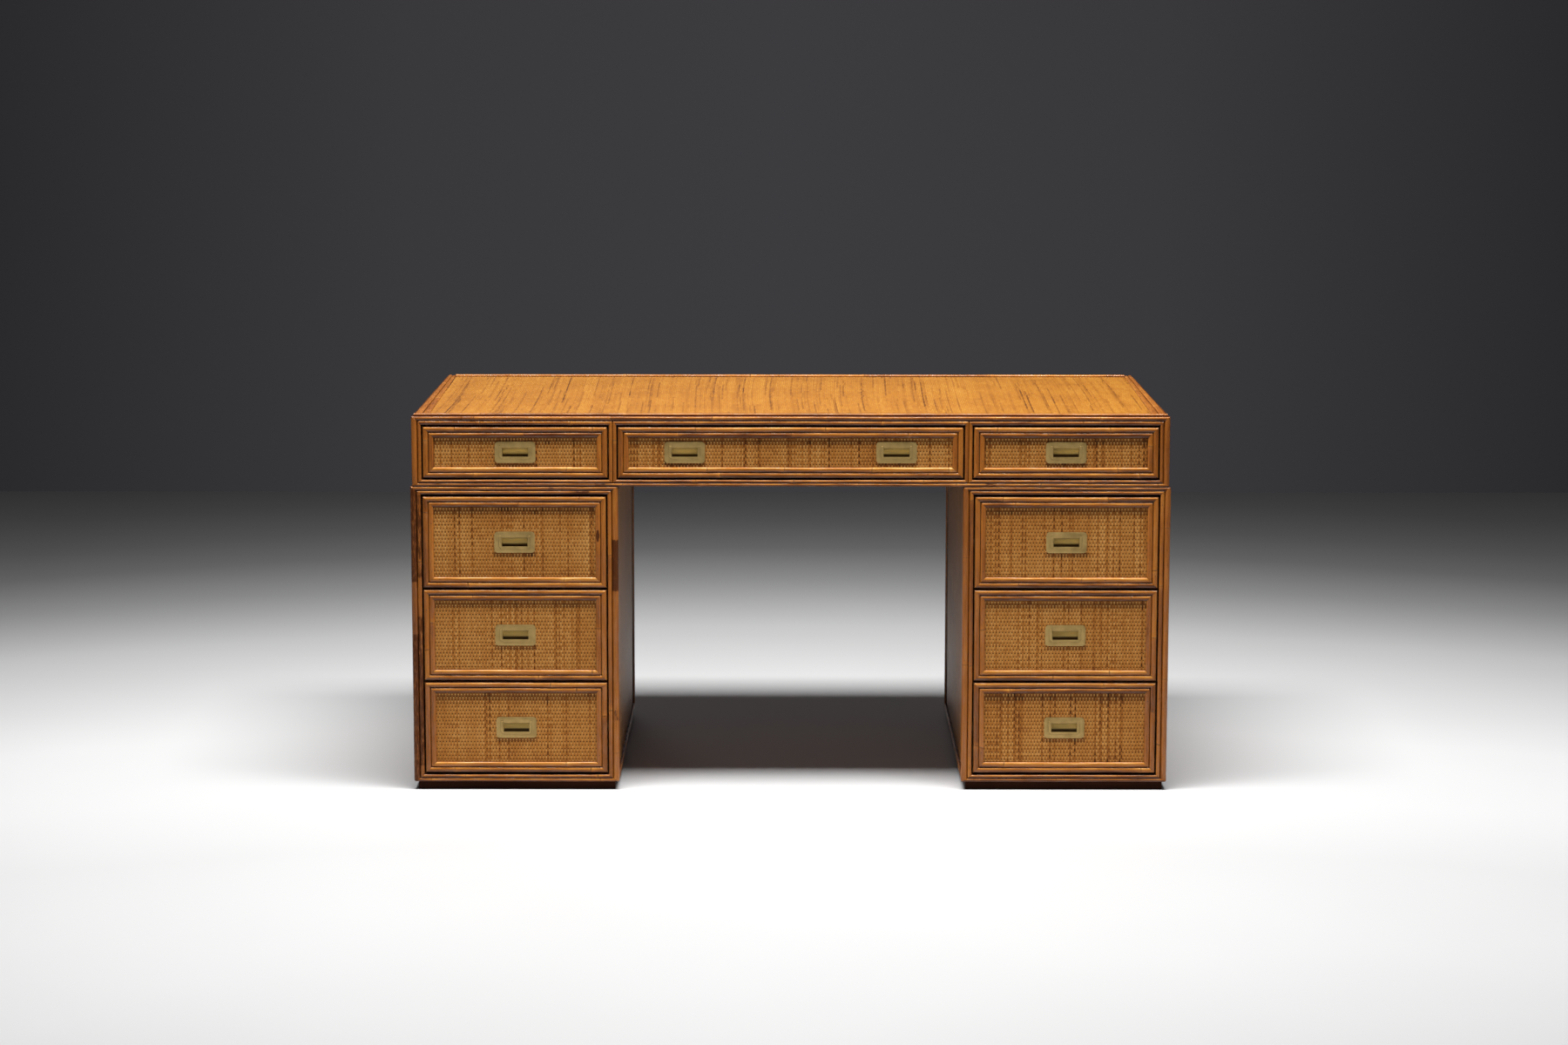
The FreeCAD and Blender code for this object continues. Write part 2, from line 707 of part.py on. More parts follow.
def pull_plate(name):
    """Flange and cup in one casting, with the bail's recess, the finger scoop and the pin hole."""
    body = doc.addObject("PartDesign::Body", name)
    half_w, half_t = size["plate_width"] / 2, size["plate_tall"] / 2
    cup_w, cup_t = size["cup_width"] / 2, size["cup_tall"] / 2
    flange = rounded_rectangle(half_w, half_t, size["plate_corner"])
    sketch = outline(body, name + "_flange_outline", "XZ_Plane", flange)
    pad(body, sketch, name + "_flange", size["plate_flange"])
    sketch = outline(body, name + "_cup_outline", "XZ_Plane", rectangle(-cup_w, cup_w, -cup_t, cup_t))
    pad(body, sketch, name + "_cup", size["cup_deep"], reversed_way=True)

    gap = size["bail_gap"]
    out_x = size["bail_width"] / 2 + gap
    in_x = size["bail_width"] / 2 - size["bail_leg"] - gap
    top = bail_top + gap
    low = -bail_top - gap
    bar_top = size["bail_bar"] - bail_top + gap
    chamfer = size["bail_chamfer"]
    front = size["plate_flange"] + size["cut_overrun"]
    recess = [
        (-out_x, top), (-out_x, low + chamfer), (chamfer - out_x, low), (out_x - chamfer, low),
        (out_x, low + chamfer), (out_x, top), (in_x, top), (in_x, bar_top), (-in_x, bar_top), (-in_x, top),
    ]
    sketch = outline(body, name + "_recess_outline", "XZ_Plane", recess)
    slot = pocket(body, sketch, name + "_recess", recess_floor)
    slot.setExpression("Length2", front.text)
    slot.SideType = "Two sides"
    doc.recompute()

    scoop_top = bail_top - size["scoop_strip"]
    scoop_low = low + size["scoop_ledge"]
    turn = scoop_top - size["scoop_round"] * scoop_turn_share()
    scoop = [
        (-front, scoop_low), (size["scoop_deep"], scoop_low), (size["scoop_deep"], turn),
        (-size["plate_flange"], scoop_top), (-front, scoop_top),
    ]
    sketch = outline(body, name + "_scoop_outline", "YZ_Plane", scoop, 2, size["scoop_round"])
    pocket(body, sketch, name + "_scoop", in_x * 2, both_ways=True)

    hole_deep = cup_w - size["bail_width"] / 2
    for side, sign in (("left", -1), ("right", 1)):
        sketch = outline(body, f"{name}_{side}_pin_hole_outline", "YZ_Plane", pin_hole())
        sketch.setExpression("AttachmentOffset.Base.z", (cup_w * sign).text)
        doc.recompute()
        pocket(body, sketch, f"{name}_{side}_pin_hole", hole_deep, reversed_way=sign < 0)
    return body


def pin_hole():
    """Corners of the hinge hole, whose flats keep the pin's clearance all round."""
    radius = (size["pin_across"] / 2 + size["pin_clearance"]) / flat_share
    turns = [2 * math.pi * index / round_sides for index in range(round_sides)]
    return [
        (pin_depth + radius * round(math.cos(turn), 9), pin_height + radius * round(math.sin(turn), 9))
        for turn in turns]


def scoop_turn_share():
    """Drop of the scoop's arc, as a share of its radius, where it turns parallel to the plate."""
    depth_share = (size["scoop_deep"] + size["plate_flange"]).value / size["scoop_round"].value
    return (1 - (1 - depth_share) ** 2) ** 0.5


def pin_circle(body, name, radius, offset):
    """A circle round the hinge line, on a plane across the pull at the given offset."""
    sketch = body.newObject("Sketcher::SketchObject", name)
    support = next(item for item in body.Origin.OriginFeatures if item.Role == "YZ_Plane")
    sketch.AttachmentSupport = (support, "")
    sketch.MapMode = "FlatFace"
    centre = Vector(pin_depth.value, pin_height.value, 0)
    sketch.addGeometry(Part.Circle(centre, Vector(0, 0, 1), radius.value), False)
    for constraint, value in (
            (Sketcher.Constraint("DistanceX", 0, 3, pin_depth.value), pin_depth),
            (Sketcher.Constraint("DistanceY", 0, 3, pin_height.value), pin_height),
            (Sketcher.Constraint("Radius", 0, radius.value), radius)):
        key = sketch.addConstraint(constraint)
        sketch.setExpression(f"Constraints[{key}]", value.text)
    sketch.setExpression("AttachmentOffset.Base.z", offset.text)
    doc.recompute()
    return sketch


def bail(name):
    """The U-shaped handle, its round-ended legs and the two hinge pins."""
    body = doc.addObject("PartDesign::Body", name)
    half = size["bail_width"] / 2
    leg_in = half - size["bail_leg"]
    low = -bail_top
    bar_top = low + size["bail_bar"]
    chamfer = size["bail_chamfer"]
    shape = [
        (-half, bail_top), (-half, low + chamfer), (chamfer - half, low), (half - chamfer, low),
        (half, low + chamfer), (half, bail_top), (leg_in, bail_top), (leg_in, bar_top),
        (-leg_in, bar_top), (-leg_in, bail_top),
    ]
    sketch = outline(body, name + "_outline", "XZ_Plane", shape)
    plate = pad(body, sketch, name + "_plate", size["plate_flange"])
    plate.SideType = "Two sides"
    plate.setExpression("Length2", bail_back.text)
    doc.recompute()
    chamfer_leg_ends(body, name + "_leg_ends")
    for side, sign in (("left", -1), ("right", 1)):
        sketch = pin_circle(body, f"{name}_{side}_pin_outline", size["pin_across"] / 2, half * sign)
        pad(body, sketch, f"{name}_{side}_pin", size["pin_reach"], reversed_way=sign < 0)
    return body


# Assembly


def add_drawer(name, width, tall, box_tall, x, low, pull_places):
    """One drawer with its front, canes, weave, pull plates and bails, set at its place."""
    parts = [
        drawer_box(name, width, tall, box_tall, [at for _, at in pull_places]),
        drawer_canes(name, width, tall),
        drawer_weave(name, width, tall, [at for _, at in pull_places]),
    ]
    for part in parts:
        place(part, x, -board_front, low)
    plates = []
    for suffix, at in pull_places:
        plate = pull_plate(f"{name}{suffix}_plate")
        handle = node(bail(f"{name}{suffix}_bail"), f"{name}{suffix}_bail")
        for piece in (plate, handle):
            place(piece, x + at, -board_front - size["weave_thick"], low + tall / 2)
        plates.append(plate)
    if len(plates) == 1:
        node(plates[0], name + "_pull")
    else:
        group(name + "_pulls", plates)
    return runners(name, width, box_tall, x, low)


upper_case()
desktop()
upper_spans = (-upper_case_side, upper_case_side, case_joint, board_top)
upper_edges = (size["upper_floor_board"], size["top_board"], size["upper_side_board"])
case_canes("upper_case_canes", upper_spans, *upper_edges, upper_front_openings())
case_weave("upper_case_weave", upper_spans, *upper_edges)
pedestal("left_pedestal", -half_width, -knee_side, -1)
pedestal("right_pedestal", knee_side, half_width, 1)
group("plinths", plinth_boards("left_plinth", -half_width, -knee_side)
      + plinth_boards("right_plinth", knee_side, half_width))

strips = []
one_pull = [("", zero)]
two_pulls = [("_left", -size["pull_spacing"] / 2), ("_right", size["pull_spacing"] / 2)]
upper_base = upper_low + size["upper_drawer_gap"]
for title, width, x, places in (
        ("upper_left", upper_side_width, -upper_side_middle, one_pull),
        ("upper_centre", centre_drawer_width, zero, two_pulls),
        ("upper_right", upper_side_width, upper_side_middle, one_pull)):
    strips += add_drawer(title + "_drawer", width, upper_drawer_tall, size["upper_box_tall"],
                         x, upper_base, places)
for side_name, x in (("left", -pedestal_middle), ("right", pedestal_middle)):
    for step, level in enumerate(("bottom", "middle", "top")):
        pitch = pedestal_drawer_tall + size["pedestal_drawer_gap"]
        base = pedestal_low + size["pedestal_drawer_gap"] + pitch * step
        strips += add_drawer(f"{side_name}_{level}_drawer", pedestal_drawer_width, pedestal_drawer_tall,
                             size["pedestal_box_tall"], x, base, one_pull)
group("drawer_runners", strips)

doc.recompute()

for item in doc.Objects:
    if "Invalid" in item.State or "Error" in item.State:
        raise ValueError(f"{item.Label} did not recompute: {item.State}")
for piece in nodes:
    if piece.Shape.isNull() or not piece.Shape.isValid():
        raise ValueError(f"{piece.Label} has no valid shape")

os.makedirs("parts", exist_ok=True)
for piece in nodes:
    piece.Shape.exportStep(f"parts/{piece.Label}.step")
print(len(nodes), "nodes written")
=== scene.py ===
import math
import random

import bmesh
import bpy
import numpy as np
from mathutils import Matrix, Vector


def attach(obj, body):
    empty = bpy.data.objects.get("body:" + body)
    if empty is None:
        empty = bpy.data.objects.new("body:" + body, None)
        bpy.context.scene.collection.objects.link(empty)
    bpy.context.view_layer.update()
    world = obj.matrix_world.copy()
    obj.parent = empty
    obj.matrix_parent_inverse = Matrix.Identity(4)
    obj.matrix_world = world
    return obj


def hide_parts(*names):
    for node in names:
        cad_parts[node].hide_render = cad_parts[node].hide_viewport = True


# A kneehole desk faced with woven cane. Lengths in the dictionaries are in millimetres, colours
# are linear red, green and blue, and a cane's tone is 0 for honey brown, less for darker.

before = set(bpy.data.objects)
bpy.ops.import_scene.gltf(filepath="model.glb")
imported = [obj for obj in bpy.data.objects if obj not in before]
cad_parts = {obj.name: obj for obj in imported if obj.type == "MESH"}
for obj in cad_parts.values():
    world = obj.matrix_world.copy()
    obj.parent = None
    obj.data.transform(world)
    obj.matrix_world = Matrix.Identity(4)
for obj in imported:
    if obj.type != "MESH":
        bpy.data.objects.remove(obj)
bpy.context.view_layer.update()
print("frame loaded")

mm = 0.001
rightward, back, up = np.array([1.0, 0, 0]), np.array([0, 1.0, 0]), np.array([0, 0, 1.0])

# Same sizes as the frame's solids
desk = {
    "side": 750, "upperSide": 746.5, "depth": 375, "rise": 5.5,
    "boardTop": 749.5, "joint": 610, "plinth": 16, "kneeSide": 340,
    "sideBoard": 16, "upperSideBoard": 14.5, "topBoard": 18, "upperFloor": 14,
    "pedestalTop": 16, "pedestalFloor": 15, "partition": 15.5, "centreOpening": 685,
    "cornerCane": 13, "drawerCane": 11, "sideGap": 2.5, "upperGap": 3, "pedestalGap": 3.75,
    "pullSpacing": 417,
}
boardFront = desk["depth"] - desk["rise"]
upperBoard = desk["upperSide"] - desk["rise"]


class Surface:
    # collects grids of points into one mesh, with the attributes that its material reads

    def __init__(self, name):
        self.name = name
        self.points, self.faces, self.slots, self.grain, self.look = [], [], [], [], []
        self.count = 0

    def addPoints(self, points, grain, look):
        first = self.count
        self.points.append(points.reshape(-1, 3))
        self.grain.append(np.broadcast_to(grain, points.shape).reshape(-1, 3))
        self.look.append(np.broadcast_to(look, points.shape).reshape(-1, 3))
        self.count += self.points[-1].shape[0]
        return first

    def addFaces(self, faces, slot=0):
        self.faces += faces.tolist()
        self.slots += [slot] * len(faces)

    def addGrid(self, points, grain, look, keep=None, flip=False):
        rows, columns = points.shape[:2]
        index = np.arange(rows * columns).reshape(rows, columns) + self.addPoints(points, grain, look)
        quads = np.stack([index[:-1, :-1], index[:-1, 1:], index[1:, 1:], index[1:, :-1]], -1)
        if flip:
            quads = quads[..., ::-1]
        if keep is not None:
            quads = quads[keep[:-1, :-1] & keep[1:, 1:] & keep[:-1, 1:] & keep[1:, :-1]]
        self.addFaces(quads.reshape(-1, 4))

    def build(self, materials, body, node, smooth=True):
        mesh = bpy.data.meshes.new(self.name)
        mesh.from_pydata((np.concatenate(self.points) * mm).tolist(), [], self.faces)
        for key, values in (("grain", self.grain), ("look", self.look)):
            attribute = mesh.attributes.new(key, "FLOAT_VECTOR", "POINT")
            attribute.data.foreach_set("vector", np.concatenate(values).astype(np.float32).ravel())
        for material in materials:
            mesh.materials.append(material)
        mesh.polygons.foreach_set("material_index", self.slots)
        mesh.polygons.foreach_set("use_smooth", [smooth] * len(self.slots))
        mesh.update()
        piece = bpy.data.objects.new(self.name, mesh)
        bpy.context.scene.collection.objects.link(piece)
        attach(piece, body)
        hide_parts(node)


# Materials

def opaque(colour):
    return (*colour, 1)


class Shader:
    # a node material or world: add() makes a node and sets or links its sockets

    def __init__(self, name, kind="materials", surface="Principled BSDF"):
        self.material = getattr(bpy.data, kind).new(name)
        self.material.use_nodes = True
        self.tree = self.material.node_tree
        self.surface = self.tree.nodes[surface]

    def add(self, kind, settings=None, output=0, **sockets):
        made = self.tree.nodes.new("ShaderNode" + kind)
        for key, value in (settings or {}).items():
            setattr(made, key, value)
        for key, value in sockets.items():
            self.put(made, key.replace("_", " "), value)
        return made.outputs[output]

    def put(self, made, key, value):
        # a socket goes by its name, or by its number as i0, i1 and so on
        numbered = key[0] == "i" and key[1:].isdigit()
        socket = made.inputs[int(key[1:])] if numbered else made.inputs[key]
        if isinstance(value, bpy.types.NodeSocket):
            self.tree.links.new(value, socket)
        else:
            socket.default_value = value

    def place(self):
        return self.add("TexCoord", output=3)

    def strand(self):
        # the mesh's own grain coordinates, and its three look values
        grain = self.add("Attribute", {"attribute_name": "grain"}, output=1)
        look = self.add("Attribute", {"attribute_name": "look"}, output=1)
        return grain, self.add("SeparateXYZ", Vector=look).node.outputs

    def math(self, operation, first, second=0.0, third=0.0):
        return self.add("Math", {"operation": operation}, i0=first, i1=second, i2=third)

    def total(self, *parts):
        # the sum of values, each multiplied by its share
        result = None
        for value, share in parts:
            part = self.math("MULTIPLY", value, share)
            result = part if result is None else self.math("ADD", result, part)
        return result

    def noise(self, vector, scale, detail=3.0, rough=0.55):
        return self.add("TexNoise", Vector=vector, Scale=scale, Detail=detail, Roughness=rough)

    def stretched(self, vector, scales, detail, rough=0.55):
        longer = self.add("VectorMath", {"operation": "MULTIPLY"}, i0=vector, i1=scales)
        return self.noise(longer, 1.0, detail, rough)

    def remap(self, value, low, high, toLow=0.0, toHigh=1.0):
        return self.add("MapRange", Value=value, From_Min=low, From_Max=high, To_Min=toLow, To_Max=toHigh)

    def roughness(self, value, middle, less, more):
        return self.remap(value, 0.3, 0.7, middle - less, middle + more)

    def mix(self, factor, first, second, blend="MIX"):
        return self.add("Mix", {"data_type": "RGBA", "blend_type": blend}, output=2,
                        i0=factor, i6=first, i7=second)

    def ramp(self, value, stops):
        made = self.tree.nodes.new("ShaderNodeValToRGB")
        elements = made.color_ramp.elements
        while len(elements) < len(stops):
            elements.new(0.5)
        for element, (position, colour) in zip(elements, stops):
            element.position = position
            element.color = opaque(colour)
        self.tree.links.new(value, made.inputs[0])
        return made.outputs[0]

    def bump(self, height, strength, distance):
        return self.add("Bump", Height=height, Strength=strength, Distance=distance)

    def finish(self, **sockets):
        for key, value in sockets.items():
            self.put(self.surface, key.replace("_", " "), value)
        return self.material


# Fibres, patches and the other grains are noise scales along, across and between the canes
caneLook = {
    "dark": (0.075, 0.015, 0.003), "brown": (0.36, 0.108, 0.012), "honey": (0.61, 0.241, 0.033),
    "pale": (0.90, 0.58, 0.220), "scorched": (0.070, 0.018, 0.005), "node": (0.13, 0.045, 0.012),
    "fibres": (26.0, 1500.0, 1.0), "patches": (9.0, 120.0, 1.0), "blotches": (70.0, 330.0, 1.0),
    "pores": (420.0, 900.0, 1.0), "polish": (38.0, 160.0, 1.0), "toneRange": (0.37, 1.62),
    "stain": 0.7, "charred": 0.93, "charredDull": 0.75, "roughness": 0.27, "specular": 0.42,
    "glint": (1.0, 0.80, 0.58), "coat": 0.45, "coatRoughness": 0.16, "coatIndex": 1.6,
}


def caneMaterial():
    shade = Shader("splitCane")
    grain, (tone, scorch, knot) = shade.strand()
    fibres = shade.stretched(grain, caneLook["fibres"], 4.0)
    patches = shade.stretched(grain, caneLook["patches"], 3.0)
    blotches = shade.stretched(grain, caneLook["blotches"], 4.0, 0.65)
    pores = shade.stretched(grain, caneLook["pores"], 2.0)
    value = shade.total((fibres, 0.50), (patches, 0.45), (tone, 0.8), (pores, 0.35))
    colour = shade.ramp(shade.remap(value, *caneLook["toneRange"]), (
        (0.0, caneLook["dark"]), (0.26, caneLook["brown"]), (0.55, caneLook["honey"]),
        (1.0, caneLook["pale"])))
    stain = shade.math("MULTIPLY", shade.remap(blotches, 0.64, 0.73), caneLook["stain"])
    colour = shade.mix(stain, colour, opaque(caneLook["dark"]))
    ragged = shade.total((scorch, 0.6), (blotches, 0.8))
    charred = shade.remap(ragged, 0.86, 1.02, 0.0, caneLook["charred"])
    colour = shade.mix(charred, colour, opaque(caneLook["scorched"]))
    colour = shade.mix(knot, colour, opaque(caneLook["node"]))
    whole = shade.math("SUBTRACT", 1.0, shade.math("MULTIPLY", charred, caneLook["charredDull"]))
    polish = shade.stretched(grain, caneLook["polish"], 3.0)
    polish = shade.remap(polish, 0.42, 0.60, caneLook["coat"] * 0.10, caneLook["coat"])
    height = shade.total((fibres, 0.6), (pores, 0.8))
    return shade.finish(
        Base_Color=colour, Roughness=shade.roughness(fibres, caneLook["roughness"], 0.07, 0.12),
        Specular_IOR_Level=shade.math("MULTIPLY", whole, caneLook["specular"]),
        Specular_Tint=opaque(caneLook["glint"]), Coat_Weight=shade.math("MULTIPLY", polish, whole),
        Coat_Roughness=caneLook["coatRoughness"], Coat_IOR=caneLook["coatIndex"],
        Normal=shade.bump(height, 0.35, 0.0004), Coat_Normal=shade.bump(pores, 0.40, 0.0004))


weaveLook = {
    "dark": (0.055, 0.014, 0.003), "brown": (0.26, 0.080, 0.013), "honey": (0.46, 0.172, 0.028),
    "pale": (0.76, 0.41, 0.125), "fibres": (60.0, 2600.0, 1.0), "clouds": 7.0,
    "toneRange": (0.10, 1.10), "roughness": 0.46, "specular": 0.22, "glint": (1.0, 0.80, 0.55),
}
desktopLook = dict(weaveLook, brown=(0.30, 0.103, 0.012), honey=(0.49, 0.192, 0.021),
                   pale=(0.66, 0.330, 0.052))
sideLook = dict(weaveLook, roughness=0.30, specular=0.85, glint=(1.0, 0.74, 0.56))


def weaveMaterial(name, chosen):
    shade = Shader(name)
    grain, (tone, hollow, _) = shade.strand()
    fibres = shade.stretched(grain, chosen["fibres"], 3.0)
    clouds = shade.noise(shade.place(), chosen["clouds"])
    value = shade.total((fibres, 0.4), (clouds, 0.35), (tone, 0.8))
    colour = shade.ramp(shade.remap(value, *chosen["toneRange"]), (
        (0.0, chosen["dark"]), (0.25, chosen["brown"]), (0.58, chosen["honey"]), (1.0, chosen["pale"])))
    # the look's second value mixes in the dark colour: painted shade in hollows, dips and along strand edges, and
    # the dark of stained streaks
    return shade.finish(
        Base_Color=shade.mix(hollow, colour, opaque(chosen["dark"])),
        Roughness=shade.roughness(fibres, chosen["roughness"], 0.08, 0.12),
        Specular_IOR_Level=chosen["specular"], Specular_Tint=opaque(chosen["glint"]),
        Normal=shade.bump(fibres, 0.4, 0.0003))


# The fibres run along axis 0, from left to right, or along axis 1, from front to back
woodLooks = {
    "case": {"dark": (0.045, 0.014, 0.007), "light": (0.12, 0.045, 0.018),
             "roughness": 0.55, "specular": 0.2, "axis": 0},
    "drawer": {"dark": (0.25, 0.115, 0.042), "light": (0.46, 0.255, 0.105),
               "roughness": 0.5, "specular": 0.2, "axis": 1},
    "runner": {"dark": (0.28, 0.15, 0.07), "light": (0.48, 0.30, 0.15),
               "roughness": 0.5, "specular": 0.2, "axis": 1},
    "plinth": {"dark": (0.016, 0.004, 0.002), "light": (0.040, 0.012, 0.005),
               "roughness": 0.45, "specular": 0.03, "axis": 0},
}
woodGrain = {"along": 6.0, "across": 110.0, "finerPores": 7}


def woodMaterial(name, chosen):
    shade = Shader(name + "Wood")
    place = shade.place()
    scales = [woodGrain["along"] if axis == chosen["axis"] else woodGrain["across"] for axis in range(3)]
    rings = shade.stretched(place, scales, 4.0, 0.6)
    pores = shade.stretched(place, [scale * woodGrain["finerPores"] for scale in scales], 2.0)
    value = shade.total((rings, 0.8), (pores, 0.3))
    colour = shade.ramp(shade.remap(value, 0.32, 0.78), ((0.0, chosen["dark"]), (1.0, chosen["light"])))
    return shade.finish(
        Base_Color=colour, Roughness=shade.roughness(pores, chosen["roughness"], 0.06, 0.08),
        Specular_IOR_Level=chosen["specular"], Normal=shade.bump(pores, 0.25, 0.0004))


# The depths count inwards from the boards' front: near where the pull's cup begins its painted light fades in, and
# near where it ends painted shade fades in at its bottom
brassLook = {
    "dull": (0.37, 0.245, 0.082), "bright": (0.52, 0.355, 0.130), "pitsAndShade": (0.10, 0.06, 0.025),
    "cup": (0.62, 0.47, 0.17), "cupDepths": (0.2, 2.0), "bottomShadeDepths": (8.0, 8.3), "bottomShade": 0.93,
    "clouds": 60.0, "pits": 900.0, "brushed": (120.0, 900.0, 1400.0), "metallic": 0.75,
}


def brassMaterial():
    shade = Shader("agedBrass")
    place = shade.place()
    fromFront = shade.add("SeparateXYZ", output=1, Vector=place)

    def deeper(depths, most):
        first, last = (-(boardFront - depth) * mm for depth in depths)
        return shade.remap(fromFront, first, last, 0.0, most)

    clouds = shade.noise(place, brassLook["clouds"], 4.0)
    pits = shade.noise(place, brassLook["pits"], 2.0)
    brushed = shade.stretched(place, brassLook["brushed"], 2.0)
    colour = shade.ramp(shade.remap(clouds, 0.3, 0.72), (
        (0.0, brassLook["dull"]), (1.0, brassLook["bright"])))
    # painted light inside the cup, then painted shade at its bottom in the pits' dark colour
    colour = shade.mix(deeper(brassLook["cupDepths"], 1.0), colour, opaque(brassLook["cup"]))
    bottom = deeper(brassLook["bottomShadeDepths"], brassLook["bottomShade"])
    colour = shade.mix(bottom, colour, opaque(brassLook["pitsAndShade"]))
    colour = shade.mix(shade.remap(pits, 0.68, 0.76, 0.0, 0.7), colour, opaque(brassLook["pitsAndShade"]))
    return shade.finish(
        Base_Color=colour, Metallic=brassLook["metallic"],
        Roughness=shade.remap(clouds, 0.3, 0.7, 0.44, 0.58),
        Normal=shade.bump(shade.total((brushed, 0.15), (pits, 1.0)), 0.22, 0.0002))


nailLook = {"dark": (0.02, 0.010, 0.006), "rust": (0.07, 0.035, 0.018), "spots": 1500.0, "metallic": 0.5}


def nailMaterial():
    shade = Shader("nailHead")
    spots = shade.noise(shade.place(), nailLook["spots"], 2.0)
    colour = shade.ramp(spots, ((0.3, nailLook["dark"]), (0.7, nailLook["rust"])))
    return shade.finish(Base_Color=colour, Metallic=nailLook["metallic"],
                        Roughness=shade.remap(spots, 0.3, 0.7, 0.5, 0.75))


cane = caneMaterial()
drawerWeave = weaveMaterial("wovenCane", weaveLook)
desktopWeave = weaveMaterial("wovenDesktop", desktopLook)
sideWeave = weaveMaterial("wovenSides", sideLook)
brass = brassMaterial()
nail = nailMaterial()
woods = {name: woodMaterial(name, chosen) for name, chosen in woodLooks.items()}
print("materials made")


# Split canes

canes = {
    "step": 9, "fewestSteps": 3, "seam": 0.22, "bend": 0.5, "fullness": 0.93, "swell": 0.02, "breadth": 0.97,
    "toneWaves": 0.08, "levelTone": -0.22, "edgeShade": 0.5, "edgeShare": 0.03,
    "crestPlace": 0.26, "crestReach": 0.11, "crestTone": 0.26, "patchyCrest": 0.55, "underside": 0.32,
    "paleEdge": 0.14, "paleEdgePlace": 0.11, "paleEdgeReach": 0.08,
}
knots = {
    "spacing": (150, 360), "fromStart": 20, "fromEnd": 12, "steps": (-6, -3, -1.2, -0.5, 0, 0.5, 1.2, 3, 6),
    "ridge": 0.09, "ridgeReach": 4.6, "groove": 0.14, "grooveReach": 0.7, "broader": 0.35,
    "slant": 2.0, "paler": 0.28, "toneStep": 0.16,
}
scars = {"halfLong": 13.5, "halfWide": 0.33, "strength": 1.25, "steps": range(-16, 17, 2)}
nails = {
    "radius": 0.95, "sides": 7, "spacing": (85, 150), "fromEnd": 17, "seat": 0.93,
    "rim": 0.1, "shank": 0.7, "crown": 0.21,
}
# Half of a cane's section, in shares of its width and of its rise
crownEdge = ((0.02, 0.0), (0.02, 0.34), (0.055, 0.62), (0.12, 0.80), (0.20, 0.915), (0.33, 0.985))
crownAcross = np.array([share for share, _ in crownEdge] + [0.5] + [1 - share for share, _ in crownEdge[::-1]])
crownHeight = np.array([height for _, height in crownEdge] + [1.0] + [height for _, height in crownEdge[::-1]])


def wobble(values, seed, wavelength):
    # smooth seeded unevenness between about -1 and 1
    phases = random.Random(seed).sample(range(1000), 3)
    total = sum(np.sin(values / wavelength * factor + phase) / factor
                for factor, phase in zip((1.0, 1.9, 3.7), phases))
    return total / 1.6


def hump(distance, reach):
    return np.exp(-(distance / reach) ** 2)


def knotPlaces(length, dice):
    places = []
    spot = dice.uniform(knots["fromStart"], knots["spacing"][1])
    while spot < length - knots["fromEnd"]:
        places.append(spot)
        spot += dice.uniform(*knots["spacing"])
    return places


def stationsAlong(length, fewest, places, extras):
    # where a cane's outline is set: at even steps, and closer together round its knots
    stations = set(np.linspace(0, length, max(fewest, int(length / canes["step"]) + 1)))
    for place in places:
        stations.update(place + step for step in knots["steps"])
    stations.update(extras)
    return np.array(sorted(station for station in stations if 0 <= station <= length))


def grainOn(run, sideways, seed):
    # coordinates along and across a cane, far from those of every other cane
    return np.stack([run * mm + seed * 1.37, np.broadcast_to(sideways * mm, run.shape),
                     np.full(run.shape, seed * 0.731)], -1)


def burntAt(run, scorch):
    burnt = np.zeros_like(run)
    for start, stop, strength in scorch:
        burnt = np.maximum(burnt, ((run > start) & (run < stop)) * strength)
    return burnt


def crestLight(run, height, patchy, seed):
    # level canes: bright where the light from above meets the crown, dark on the underside
    crest = canes["crestPlace"] + 0.04 * wobble(run, seed + 9, 50.0)
    bright = (canes["crestTone"] + canes["patchyCrest"] * patchy) * hump(height - crest, canes["crestReach"])
    return bright - canes["underside"] * np.clip((-height - 0.08) / 0.28, 0, 1)


